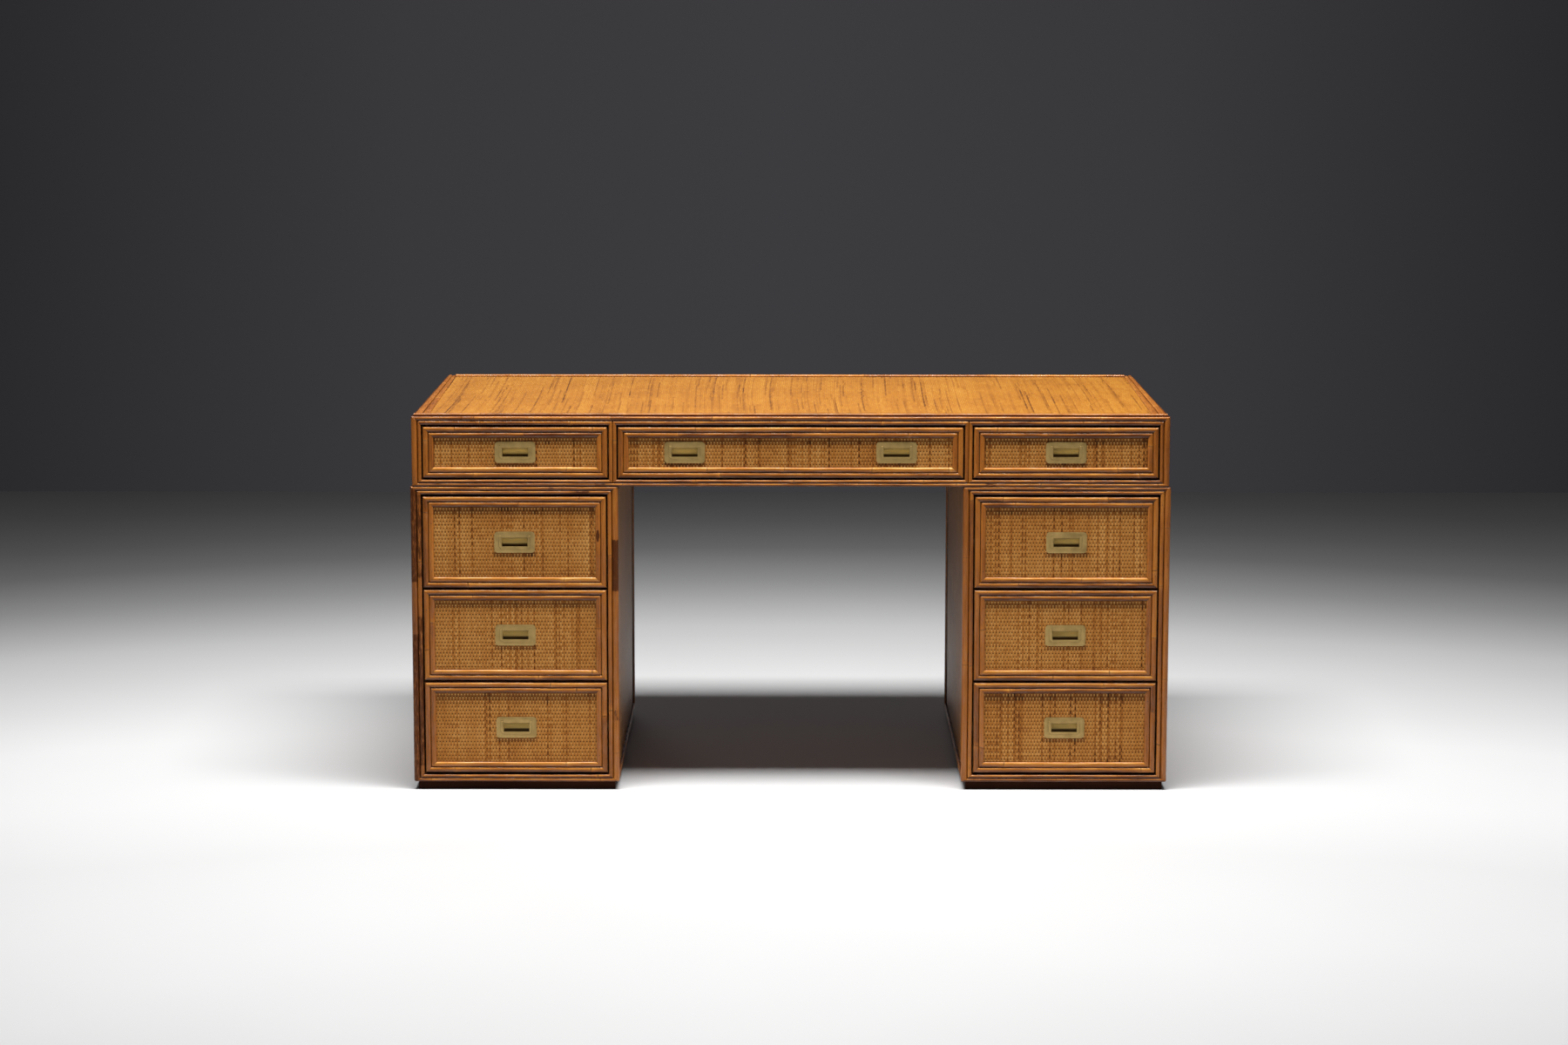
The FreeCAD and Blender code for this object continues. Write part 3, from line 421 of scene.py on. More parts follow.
def addCane(surface, outer, inner, outward, rise, seed, tone=0.0, scorch=(), scarred=()):
    # a split cane between two mitre lines: outer and inner are its edges' (start, end) points
    dice = random.Random(seed)
    outerStart, outerStop = (np.array(point, float) for point in outer)
    innerStart, innerStop = (np.array(point, float) for point in inner)
    length = np.linalg.norm(outerStop - outerStart)
    along = (outerStop - outerStart) / length
    lean, leanStop = innerStart - outerStart, innerStop - outerStop
    startInset, stopInset = lean @ along, -(leanStop @ along)
    across, acrossStop = lean - along * startInset, leanStop + along * stopInset
    wide = np.linalg.norm(across)
    places = knotPlaces(length, dice)
    extras = [scar + step for scar in scarred for step in scars["steps"]] + [startInset, length - stopInset]
    stations = stationsAlong(length, canes["fewestSteps"], places, extras)
    share = crownAcross[None, :]
    low = np.maximum(startInset, 0) * share + canes["seam"]
    high = length - np.maximum(stopInset, 0) * share - canes["seam"]
    run = np.clip(stations[:, None], low, high)
    part = (run / length)[..., None]
    widthway = across * (1 - part) + acrossStop * part

    ridge, rings, paler = np.zeros_like(run), np.zeros_like(run), np.zeros_like(run)
    for place in places:
        apart = run - place - dice.uniform(-knots["slant"], knots["slant"]) * (share - 0.5)
        ridge += knots["ridge"] * hump(apart, knots["ridgeReach"])
        ridge -= knots["groove"] * hump(apart, knots["grooveReach"])
        paler += dice.uniform(0.0, knots["paler"]) * hump(apart - dice.uniform(-4, 4), dice.uniform(3, 9))
        rings = np.maximum(rings, hump(apart, dice.uniform(0.7, 1.3)) * dice.uniform(0.5, 0.95))
    fullness = np.minimum(canes["fullness"] + canes["swell"] * wobble(run, seed, 34.0) + ridge, 1.0)
    bend = canes["bend"] * wobble(run, seed + 1, 70.0) / wide
    breadth = np.minimum(canes["breadth"] + ridge * knots["broader"], 1.0)
    sideways = np.clip(0.5 + (share - 0.5) * breadth + bend * 0.5, 0.0, 1.0)
    points = (outerStart + along * run[..., None] + widthway * sideways[..., None]
              + outward * (rise * crownHeight[None, :] * fullness)[..., None])

    fromEdge = np.minimum(share, 1 - share)
    # a patchy mask, for the painted crown highlight and the paler edge bands
    patchy = np.clip(0.5 + 0.5 * wobble(run + 30 * share, seed + 3, 16.0), 0, 1)
    tones = tone + canes["toneWaves"] * wobble(run, seed + 2, 120.0) + paler
    # painted shade, with some dirt, along the outermost edges where canes meet
    tones = tones - canes["edgeShade"] * (fromEdge < canes["edgeShare"])
    # level canes facing out: painted highlight on the upper crown, painted shade on the underside
    if abs(along[2]) < 0.5 and outward[2] < 0.5:
        tones = tones + crestLight(run, (share - 0.5) * np.sign(across[2]), patchy, seed)
    else:
        # paler bands near both edges
        tones = tones + canes["paleEdge"] * patchy * hump(fromEdge - canes["paleEdgePlace"], canes["paleEdgeReach"])
    before = 0.0
    for place in places:
        after = dice.uniform(-knots["toneStep"], knots["toneStep"])
        tones = tones + np.where(run > place, after - before, 0.0)
        before = after
    burnt = burntAt(run, scorch)
    for scar in scarred:
        oval = ((run - scar) / scars["halfLong"]) ** 2 + ((share - 0.5) / scars["halfWide"]) ** 2
        burnt = np.maximum(burnt, np.clip((1.2 - oval) * 3, 0, 1) * scars["strength"])
    surface.addGrid(points, grainOn(run, share * wide, seed), np.stack([tones, burnt, rings], -1),
                    flip=np.cross(along, across) @ outward < 0)
    addNails(surface, outerStart, along, (across, acrossStop), outward, rise, length,
             (startInset, stopInset), dice)


def addNails(surface, start, along, acrosses, outward, rise, length, insets, dice):
    # flat round heads with a low crown, down the middle of a cane
    spot = max(insets[0], 0) + nails["fromEnd"] * dice.uniform(0.6, 1.3)
    stop = length - max(insets[1], 0) - nails["fromEnd"] * 0.5
    sides = nails["sides"]
    turns = np.arange(sides) * 2 * math.pi / sides
    ring = np.arange(sides)
    after = (ring + 1) % sides
    while spot < stop:
        widthway = acrosses[0] * (1 - spot / length) + acrosses[1] * spot / length
        sideways = widthway / np.linalg.norm(widthway)
        centre = start + along * spot + widthway * dice.uniform(0.42, 0.58) + outward * rise * nails["seat"]
        rim = [centre + (along * math.cos(turn) + sideways * math.sin(turn)) * nails["radius"]
               - outward * nails["rim"] for turn in turns]
        low = [point - outward * nails["shank"] for point in rim]
        head = np.array(low + rim + [centre + outward * nails["crown"]])
        first = surface.addPoints(head, np.zeros(3), np.zeros(3))
        surface.addFaces(np.stack([ring, after, after + sides, ring + sides], -1) + first, 1)
        surface.addFaces(np.stack([ring + sides, after + sides, np.full(sides, 2 * sides)], -1) + first, 1)
        spot += dice.uniform(*nails["spacing"])


class Face:
    # a flat face seen from outside: its lower left corner and its directions

    def __init__(self, origin, across, outward, upward=up):
        self.origin = np.array(origin, float)
        self.across, self.outward, self.upward = across, outward, upward

    def at(self, point):
        return self.origin + self.across * point[0] + self.upward * point[1]

    def points(self, sideways, height, lift):
        return (self.origin + self.across * sideways[..., None] + self.upward * height[..., None]
                + self.outward * lift[..., None])

    def addCane(self, surface, outer, inner, seed, **details):
        addCane(surface, [self.at(point) for point in outer], [self.at(point) for point in inner],
                self.outward, desk["rise"], seed, **details)


def addRing(surface, face, box, widths, seed, tones, scorches=((),) * 4, scarred=((),) * 4):
    # low, high, left and right canes round a rectangle (left, right, low, high), mitred
    left, right, low, high = box
    wideLeft, wideRight, wideLow, wideHigh = widths
    inLeft, inRight, inLow, inHigh = left + wideLeft, right - wideRight, low + wideLow, high - wideHigh
    edges = (
        (((left, low), (right, low)), ((inLeft, inLow), (inRight, inLow))),
        (((left, high), (right, high)), ((inLeft, inHigh), (inRight, inHigh))),
        (((left, low), (left, high)), ((inLeft, inLow), (inLeft, inHigh))),
        (((right, low), (right, high)), ((inRight, inLow), (inRight, inHigh))),
    )
    for index, (outer, inner) in enumerate(edges):
        face.addCane(surface, outer, inner, seed + index * 7, tone=tones[index],
                     scorch=scorches[index], scarred=scarred[index])


cornerCanes = {
    "fewestSteps": 4, "endSteps": (1, 2, 3.5, 5.5, 8), "turnSteps": 15, "roundedEnd": 3.6, "endGap": 0.2,
    "ridge": 0.05, "ridgeReach": 3.2, "groove": 0.07, "grooveReach": 0.7, "ringReach": 0.9, "ringDark": 0.75,
    "fullness": 0.975, "swell": 0.02, "paler": 2.5, "nailInset": 1.5, "nailBand": 9.0, "nailRise": -0.3,
}


def addCornerCane(surface, edge, inwards, span, rails, seed, tone, scorch):
    # a thick cane over an upright corner: three quarters round, mitred to the rails, its ends rounded
    (x, y), (inward, deeper), (low, high) = edge, inwards, span
    dice = random.Random(seed)
    radius = desk["cornerCane"] / 2
    firstTurn = math.asin((desk["rise"] - radius) / radius)
    turns = np.linspace(firstTurn, -firstTurn - 1.5 * math.pi, cornerCanes["turnSteps"])
    acrossX, acrossY = radius + radius * np.cos(turns), radius + radius * np.sin(turns)
    length = high - low
    places = knotPlaces(length, dice)
    ends = [end for step in cornerCanes["endSteps"] for end in (step, length - step)]
    stations = stationsAlong(length, cornerCanes["fewestSteps"], places, ends)
    onFront = acrossY < desk["rise"] + 0.6
    frontShare = np.clip(acrossX / (2 * radius), 0, 1)
    reach = cornerCanes["roundedEnd"]
    arch = reach - np.sqrt(np.maximum(reach ** 2 - np.clip(reach - acrossX, 0, reach) ** 2, 0))
    lowCut, highCut = (np.where(onFront, rail * frontShare, 0) + arch + cornerCanes["endGap"] for rail in rails)
    run = np.clip(stations[:, None], lowCut[None, :], length - highCut[None, :])
    ridge, rings = np.zeros_like(run), np.zeros_like(run)
    for place in places:
        ridge += cornerCanes["ridge"] * hump(run - place, cornerCanes["ridgeReach"])
        ridge -= cornerCanes["groove"] * hump(run - place, cornerCanes["grooveReach"])
        rings = np.maximum(rings, hump(run - place, cornerCanes["ringReach"]) * cornerCanes["ringDark"])
    fullness = cornerCanes["fullness"] + cornerCanes["swell"] * wobble(run, seed, 50.0) + ridge
    fullness = np.minimum(fullness, 1.0)
    intoX = radius + (acrossX - radius)[None, :] * fullness
    intoY = radius + (acrossY - radius)[None, :] * fullness
    points = np.stack([x + inward * intoX, y + deeper * intoY, low + run], -1)
    tones = tone + canes["toneWaves"] * wobble(run, seed + 2, 120.0)
    tones = tones + cornerCanes["paler"] * np.maximum(ridge, 0)
    surface.addGrid(points, grainOn(run, (turns[0] - turns)[None, :] * radius, seed),
                    np.stack([tones, burntAt(run, scorch), rings], -1), flip=inward * deeper > 0)
    if y < 0:
        start = np.array([x + inward * cornerCanes["nailInset"], y, low])
        band = rightward * inward * cornerCanes["nailBand"]
        addNails(surface, start, up, (band, band), -back * deeper, cornerCanes["nailRise"], length, (0, 0), dice)


# Woven cane

# Warps stand upright and wefts lie level. Hollows and shallows are a relief's heights between them.
weaving = {
    "warp": 3.1, "weft": 6.9, "warpWide": 2.7, "weftWide": 6.95, "swing": 0.38, "crown": 0.08, "depth": 1.15,
    "tone": 0.42, "darkWarps": 0.16, "darkFrom": 0.35,
}
# The darkness of the hollows and shallows is painted shade
reliefs = {
    "sides": {
        # the warp peaks' light tone is a painted glint
        "warpTone": 0.90, "weftTone": 0.42, "hollow": 0.31, "shallow": 0.52, "hollowShade": 0.95,
        "shallowShade": 0.80, "drift": 0.0, "streaks": 0.10, "contrast": 1.2, "backShadowDots": 0.0},
    "desktop": {
        "warpTone": 0.50, "weftTone": 0.44, "hollow": 0.70, "shallow": 0.90, "hollowShade": 0.58,
        "shallowShade": 0.18, "drift": 5.0, "streaks": 1.1, "contrast": 1.6, "backShadowDots": 0.85},
}
reliefShape = {"peakBelow": 0.12, "warpBelow": 0.12, "cornerTone": 0.30, "mottle": 0.13, "speckle": 0.07}
# each strand's edges get painted shade, and its tone across it painted light and shade, given at one edge, the
# middle and the other edge
strandKinds = {
    "weft": {"wander": 0.30, "edgeShade": (0.05, 0.0, 0.0), "shadeAcross": (-0.04, 0.0, 0.05), "firstNumber": 0},
    "warp": {"wander": 0.16, "edgeShade": (0.22, 0.0, 0.22), "shadeAcross": (-0.08, 0.06, -0.08),
             "firstNumber": 500},
}
# painted shadow below the top cane and the pull plates: how many weft rows, how dark, and how far round each plate
shadowBand = {"rows": 2, "dark": 0.38, "faintRows": 3, "faint": 0.15, "besidePull": 5, "belowPull": 4}


def strandTones(count, seed, dark):
    # a tone for each strand: runs of alike strands, with a few dark ones among them
    dice = np.random.default_rng(seed)
    tones = dice.normal(0.0, 0.05, count)
    drift = np.convolve(dice.normal(0.0, 1.0, count + 30), np.ones(9) / 9, "same")[15:15 + count]
    tones += drift * 0.22
    darker = dice.random(count) < dark * np.clip(1 + 3 * drift, 0.1, 3)
    return tones - darker * dice.uniform(weaving["darkFrom"], 1.0, count)


def strandSpacing(wide, tall):
    warpCount, weftCount = round(wide / weaving["warp"]), max(2, round(tall / weaving["weft"]))
    return warpCount, weftCount, wide / warpCount, tall / weftCount


def shadowBandAt(sideways, height, tall, weft, holes):
    # painted shadow on the wefts just below the top cane and below each pull plate, which stand out and cast it
    faint = np.where(height > tall - shadowBand["faintRows"] * weft, shadowBand["faint"], 0.0)
    amount = np.where(height > tall - shadowBand["rows"] * weft, shadowBand["dark"], faint)
    for left, right, low, high in holes:
        beside = (sideways > left - shadowBand["besidePull"]) & (sideways < right + shadowBand["besidePull"])
        below = (height > low - shadowBand["belowPull"] - weft) & (height < low)
        amount = np.where(beside & below, shadowBand["dark"], amount)
    return amount


def addStrand(surface, face, kind, number, middle, stretch, height, width, tone, paintedShade, seed, holes):
    # one strand: its heights, tones and shadows are given at the places in stretch
    chosen = strandKinds[kind]
    number += chosen["firstNumber"]
    shape = (len(stretch), 3)
    sides, crown = np.array([-0.5, 0.0, 0.5]) * width, np.array([-1.0, 0.0, -1.0]) * weaving["crown"]
    wander = chosen["wander"] * wobble(stretch, seed * 3 + number, 45.0)
    along, across = np.broadcast_to(stretch[:, None], shape), middle + sides[None, :] + wander[:, None]
    sideways, upward = (along, across) if kind == "weft" else (across, along)
    base = weaving["depth"] - weaving["swing"] - weaving["crown"] - 0.05
    points = face.points(sideways, upward, base + height[:, None] + crown[None, :])
    keep = np.ones(shape, bool)
    for left, right, low, high in holes:
        keep &= ~((sideways > left) & (sideways < right) & (upward > low) & (upward < high))
    grain = np.stack([along * mm, np.broadcast_to(sides[None, :] * mm, shape), np.full(shape, number * 0.613)], -1)
    # painted shade where the strand dips under, with the painted shadow it is given and along its edges
    under = np.clip(-height / weaving["swing"], 0, 1) * 0.4
    hollow = np.clip(np.maximum(under, paintedShade)[:, None] + np.array(chosen["edgeShade"]), 0, 0.95)
    # painted light across the strand: a weft lighter at its upper edge and darker at its lower one, a warp darker
    # at both sides
    look = np.stack([tone[:, None] + np.array(chosen["shadeAcross"]), hollow, np.zeros(shape)], -1)
    surface.addGrid(points, grain, look, keep, flip=kind == "warp")


def wovenStrands(surface, face, wide, tall, seed, holes):
    # real strands over and under each other: level wefts, then upright warps
    warpCount, weftCount, warp, weft = strandSpacing(wide, tall)
    dice = np.random.default_rng(seed + 5)
    warpTones = strandTones(warpCount, seed, weaving["darkWarps"])
    weftTones = strandTones(weftCount, seed + 1, 0.0) * 0.4
    warpMiddles = (np.arange(warpCount) + 0.5) * warp

    stretch = np.arange(warpCount * 2 + 1) * warp / 2
    shared = np.interp(stretch, warpMiddles, np.minimum(warpTones, 0.2))
    for number in range(weftCount):
        middle = (number + 0.5) * weft
        height = weaving["swing"] * np.cos((stretch / warp - 0.5 + number) * math.pi)
        patch = np.where(wobble(stretch, seed * 5 + number, 30.0) > 0.8, -0.16, 0.0)
        speckle = 0.06 * np.repeat(dice.normal(size=warpCount + 1), 2)[:len(stretch)]
        tone = weaving["tone"] + weftTones[number] + patch + speckle + 0.25 * shared
        # painted shadow below the top cane and the pull plates
        tone = tone - shadowBandAt(stretch, middle, tall, weft, holes)
        addStrand(surface, face, "weft", number, middle, stretch, height,
                  weft * weaving["weftWide"] / weaving["weft"], tone, 0.0, seed, holes)

    # six steps to each crossing; a warp is shaded where it dips under a weft, and just before
    stretch = np.arange(weftCount * 6 + 1) * weft / 6
    step = np.arange(len(stretch)) % 6
    for number, middle in enumerate(warpMiddles):
        wave = np.cos((stretch / weft - 0.5 + number + 1) * math.pi)
        height = weaving["swing"] * np.sign(wave) * np.abs(wave) ** 0.7
        patch = np.where(wobble(stretch, seed * 7 + number, 36.0) > -0.2, 1.0, 0.45)
        inShadowBand = shadowBandAt(np.full(len(stretch), middle), stretch, tall, weft, holes)
        own = warpTones[number]
        tone = weaving["tone"] + (own * patch if own < -0.15 else own)
        # painted highlight where the warp rises over a weft, stronger inside the painted shadow band; painted shade
        # at its lower end there
        tone = tone + 0.30 * np.maximum(wave, 0) + 0.4 * inShadowBand
        shaded = np.where((step == 0) & (np.roll(wave, -1) < 0), 0.95, 0.0)
        for place, shade in ((5, 0.92), (4, 0.42), (1, 2.0 * inShadowBand)):
            shaded = np.where((step == place) & (wave > 0), shade, shaded)
        addStrand(surface, face, "warp", number, middle, stretch, height,
                  warp * weaving["warpWide"] / weaving["warp"], tone, shaded, seed, holes)


def addStreaks(tone, dark, share, dice):
    # dark runs along single warps, over part of their length
    warpCount, weftCount = tone.shape
    for _ in range(round(share * warpCount)):
        first = dice.integers(-weftCount // 2, weftCount)
        rows = np.arange(max(first, 0), min(first + dice.integers(weftCount // 4, weftCount), weftCount))
        path = dice.integers(0, warpCount) + np.cumsum(dice.normal(0.0, 0.05, len(rows)))
        path = np.clip(np.round(path), 0, warpCount - 1).astype(int)
        shade = dice.uniform(0.25, 1.0) ** 2.2 * (0.85 + 0.15 * np.sin(rows * 0.15 + first))
        shade = shade * dice.uniform(0.8, 1.1, len(rows))
        dark[path, rows] = np.maximum(dark[path, rows], 0.6 * shade)
        tone[path, rows] -= 0.9 * shade


def wovenRelief(surface, face, wide, tall, seed, details):
    # woven cane as a low relief: a peak on every crossing and a hollow between four of them
    warpCount, weftCount, warp, weft = strandSpacing(wide, tall)
    dice = np.random.default_rng(seed)

    def bow(column, row):
        # the warps wander a little sideways
        return details["drift"] * (np.sin(row * weft / 230.0 + column * 0.013)
                                   + 0.10 * np.sin(row * 0.8 + column * 2.1))

    warpTones = strandTones(warpCount, seed, 0.0) * details["contrast"]
    weftTones = strandTones(weftCount, seed + 1, 0.0)
    column, row = np.meshgrid(np.arange(warpCount), np.arange(weftCount), indexing="ij")
    weftOver = (column + row) % 2 == 0
    mottle = dice.normal(0.0, reliefShape["mottle"], (warpCount // 2 + 1, weftCount // 4 + 1))
    tone = np.where(weftOver, details["weftTone"] + weftTones[row], details["warpTone"]) + warpTones[column]
    tone = tone + mottle[column // 2, row // 4] + dice.normal(0.0, reliefShape["speckle"], tone.shape)

    cornerColumn, cornerRow = np.meshgrid(np.arange(warpCount + 1), np.arange(weftCount + 1), indexing="ij")
    deep = (cornerColumn + cornerRow) % 2 == 0
    level = np.where(deep, details["hollow"], details["shallow"])
    # painted shade in the hollows and shallows between crossings; the streaks below add their own dark
    dark = np.where(deep, details["hollowShade"], details["shallowShade"])
    bowed = np.clip(cornerColumn * warp + bow(cornerColumn, cornerRow), 0, wide)
    corners = face.points(bowed, cornerRow * weft, level)
    addStreaks(tone, dark, details["streaks"], dice)

    sideways, upward = (column + 0.5) * warp, (row + 0.5) * weft
    height = weaving["depth"] - reliefShape["peakBelow"] - np.where(weftOver, 0.0, reliefShape["warpBelow"])
    peaks = face.points(sideways + bow(column, row), upward, height)
    grain = np.stack([np.where(weftOver, sideways, upward) * mm, np.where(weftOver, upward, sideways) * mm,
                      (column * 0.37 + row * 0.91) % 7], -1)
    # painted shadow dots on alternate warps of the last two rows, below the back cane
    gap = np.where((row >= weftCount - 2) & (column % 2 == 0), details["backShadowDots"], 0.0)
    firstPeak = surface.addPoints(peaks, grain, np.stack([tone, gap, np.zeros(tone.shape)], -1))
    flat = np.zeros(deep.shape)
    cornerGrain = np.stack([cornerColumn * warp * mm, cornerRow * weft * mm, flat], -1)
    cornerLook = np.stack([flat + reliefShape["cornerTone"], np.clip(dark, 0, 0.95), flat], -1)
    firstCorner = surface.addPoints(corners, cornerGrain, cornerLook)
    around = [firstCorner + (column + right) * (weftCount + 1) + row + above
              for right, above in ((0, 0), (1, 0), (1, 1), (0, 1))]
    peak = firstPeak + column * weftCount + row
    for index, corner in enumerate(around):
        surface.addFaces(np.stack([corner, around[(index + 1) % 4], peak], -1).reshape(-1, 3))


# Cases

cases = {
    "upper_case": {
        "span": (-desk["upperSide"], desk["upperSide"], desk["joint"], desk["boardTop"]),
        "boards": (desk["upperFloor"], desk["topBoard"], desk["upperSideBoard"]), "seed": 1000},
    "left_pedestal": {
        "span": (-desk["side"], -desk["kneeSide"], desk["plinth"], desk["joint"]),
        "boards": (desk["pedestalFloor"], desk["pedestalTop"], desk["sideBoard"]), "seed": 2000},
    "right_pedestal": {
        "span": (desk["kneeSide"], desk["side"], desk["plinth"], desk["joint"]),
        "boards": (desk["pedestalFloor"], desk["pedestalTop"], desk["sideBoard"]), "seed": 3000},
}
# Canes that differ: a tone and its scorch marks, each from, to and how strong. Corners are left or
# right and front or back, rails are upper or lower, and a ring's canes are low, high, left and right.
caneTones = {
    "left_pedestal": {
        ("corner", "left", "front"): (-0.12, ((0, 300, 1.02), (400, 594, 1.02))),
        ("corner", "right", "front"): (0.05, ((383, 489, 1.18), (120, 150, 0.9))),
        ("rail", "front", "upper"): (-0.10, ((270, 284, 0.85),)),
        ("ring", "front", 0): ((-0.2, -0.15, -0.1, 0.0),
                               ((), ((300, 342, 1.0),), ((20, 330, 1.0), (400, 570, 0.97)), ())),
    },
    "upper_case": {
        ("rail", "front", "lower"): (-0.22, ((354, 384, 0.92), (1130, 1150, 0.9))),
        ("rail", "front", "upper"): (-0.18, ((92, 104, 0.95),)),
    },
}
plainRing = ((canes["levelTone"], canes["levelTone"], 0, 0), ((),) * 4)


def caseFaces(left, right, low):
    rise, depth = desk["rise"], desk["depth"]
    return {
        "front": Face((left, -boardFront, low), rightward, -back),
        "back": Face((right, boardFront, low), -rightward, back),
        "left": Face((left + rise, depth, low), -back, -rightward),
        "right": Face((right - rise, -depth, low), back, rightward),
    }


def upperOpenings():
    # the upper front's three openings: their ends and the widths of their upright canes
    corner, middle, thin = desk["cornerCane"], desk["upperSide"], desk["partition"] / 2
    half = desk["centreOpening"] / 2 + thin
    stile = desk["upperSideBoard"] + desk["rise"] - corner
    return [(corner, middle - half, stile, thin), (middle - half, middle + half, thin, thin),
            (middle + half, middle * 2 - corner, thin, stile)]


def caseCanes(name, case):
    # every cane of one case, in the same layout as its solids
    left, right, low, high = case["span"]
    lowBoard, highBoard, sideBoard = case["boards"]
    tones, seed = caneTones.get(name, {}), case["seed"]
    tall, corner = high - low, desk["cornerCane"]
    lowCane, highCane = lowBoard / 2, highBoard / 2
    stile = sideBoard + desk["rise"] - corner
    surface = Surface(name + "_canes_dressed")
    for index, (side, x, inward) in enumerate((("left", left, 1), ("right", right, -1))):
        for step, (end, y, deeper) in enumerate((("front", -desk["depth"], 1), ("back", desk["depth"], -1))):
            tone, scorch = tones.get(("corner", side, end), (0.0, ()))
            addCornerCane(surface, (x, y), (inward, deeper), (low, high), (lowCane, highCane),
                          seed + index * 3 + step, tone, scorch)
    for number, (side, face) in enumerate(caseFaces(left, right, low).items()):
        mitred = side in ("front", "back")
        long, start = (right - left, 0) if mitred else (desk["depth"] * 2, corner)
        faceSeed = seed + 40 + number * 60
        rails = (("upper", tall, tall - highCane), ("lower", 0, lowCane))
        for row, (rail, outer, inner) in enumerate(rails):
            tone, scorch = tones.get(("rail", side, rail), (canes["levelTone"], ()))
            face.addCane(surface, ((start, outer), (long - start, outer)),
                         ((corner, inner), (long - corner, inner)), faceSeed + row, tone=tone, scorch=scorch)
        openings = [(corner, long - corner, stile, stile)]
        if side == "front" and name == "upper_case":
            openings = upperOpenings()
        for place, (first, last, wideFirst, wideLast) in enumerate(openings):
            addRing(surface, face, (first, last, lowCane, tall - highCane),
                    (wideFirst, wideLast, lowCane, highCane), faceSeed + 11 + place * 17,
                    *tones.get(("ring", side, place), plainRing))
    surface.build([cane, nail], "case", name + "_canes")


def caseWeave(name, case):
    # the woven sides and back of one case
    left, right, low, high = case["span"]
    lowBoard, highBoard, sideBoard = case["boards"]
    depth, rise = desk["depth"], desk["rise"]
    inset, base, tall = rise + sideBoard, low + lowBoard, high - low - lowBoard - highBoard
    deep, wide = 2 * (depth - inset), right - left - 2 * inset
    fields = (
        (Face((left + rise, depth - inset, base), -back, -rightward), deep),
        (Face((right - rise, inset - depth, base), back, rightward), deep),
        (Face((right - inset, boardFront, base), -rightward, back), wide),
    )
    surface = Surface(name + "_weave_dressed")
    for index, (face, across) in enumerate(fields):
        wovenRelief(surface, face, across, tall, case["seed"] + index * 9, reliefs["sides"])
    surface.build([sideWeave], "case", name + "_weave", smooth=False)


for name, case in cases.items():
    caseCanes(name, case)
    caseWeave(name, case)
print("cases dressed")


# Desktop

# The side canes' widths are given in front and at the back, and their rises as shares of the usual one
rim = {
    "end": 9, "outer": (15, 8), "inner": (15, 8), "outerRise": 0.72, "innerRise": 0.62,
    "frontTone": 0.0, "backTone": 0.15, "sideTone": 0.12, "weaveInset": 17, "weaveFromBack": 1,
}


def dressDesktop():
    base, front, inner = desk["boardTop"], boardFront, boardFront - rim["end"]
    middles = [upperBoard - width for width in rim["outer"]]
    frontIn, backIn = (middle - width for middle, width in zip(middles, rim["inner"]))
    surface = Surface("desktop_canes_dressed")

    def addRim(outside, inside, share, seed, tone):
        # outside and inside are the (x, y) ends of the cane's two edges
        outside, inside = ([(x, y, base) for x, y in ends] for ends in (outside, inside))
        addCane(surface, outside, inside, up, desk["rise"] * share, seed, tone=tone)

    addRim(((-upperBoard, -front), (upperBoard, -front)), ((-upperBoard, -inner), (upperBoard, -inner)),
           1, 71, rim["frontTone"])
    addRim(((-backIn, front), (backIn, front)), ((-backIn, inner), (backIn, inner)), 1, 73, rim["backTone"])
    edges = ((upperBoard, upperBoard), middles, (frontIn, backIn))
    for side in (-1, 1):
        for index, share in enumerate((rim["outerRise"], rim["innerRise"])):
            outside, inside = (((side * near, -inner), (side * far, front)) for near, far in edges[index:index + 2])
            addRim(outside, inside, share, 75 + side + index * 5, rim["sideTone"])
    surface.build([cane, nail], "case", "desktop_canes")

    fieldSide = upperBoard - rim["weaveInset"]
    field = Face((-fieldSide, -inner, base), rightward, up, back)
    woven = Surface("desktop_weave_dressed")
    wovenRelief(woven, field, fieldSide * 2, inner * 2 - rim["weaveFromBack"], 91, reliefs["desktop"])
    woven.build([desktopWeave], "case", "desktop_weave", smooth=False)


dressDesktop()
print("desktop dressed")


# Drawers

# The tones are those of the outer and then the inner ring's low, high, left and right canes; the inner ring's low
# cane is lighter as painted light, and its high cane darker as painted shade below the outer ring
drawerLook = {
    "tones": (-0.12, -0.04, -0.02, -0.02, 0.10, -0.22, 0.0, 0.0), "toneSpread": (-0.07, 0.09),
    "scars": {"left_top": ((), (), (), (93,))}, "underCanes": 1,
}
pullLook = {
    "halfWide": 36, "halfTall": 18, "easedPlate": 0.4, "easedBail": 0.35, "segments": 2, "sharpest": 30,
    "pairs": {"upper_centre": (("_left", -desk["pullSpacing"] / 2), ("_right", desk["pullSpacing"] / 2))},
}


def castCopy(node, body, eased):
    # a pull's solid with eased edges
    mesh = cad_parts[node].data.copy()
    work = bmesh.new()
    work.from_mesh(mesh)
    bmesh.ops.remove_doubles(work, verts=work.verts, dist=1e-6)
    bmesh.ops.dissolve_limit(work, angle_limit=math.radians(0.5), verts=work.verts, edges=work.edges)
    work.to_mesh(mesh)
    work.free()
    mesh.materials.clear()
    mesh.materials.append(brass)
    for polygon in mesh.polygons:
        polygon.use_smooth = True
    piece = bpy.data.objects.new(node + "_cast", mesh)
    bpy.context.scene.collection.objects.link(piece)
    bevel = piece.modifiers.new("eased", "BEVEL")
    bevel.width = eased * mm
    bevel.segments = pullLook["segments"]
    bevel.limit_method = "ANGLE"
    bevel.angle_limit = math.radians(pullLook["sharpest"])
    bevel.harden_normals = True
    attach(piece, body)
    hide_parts(node)


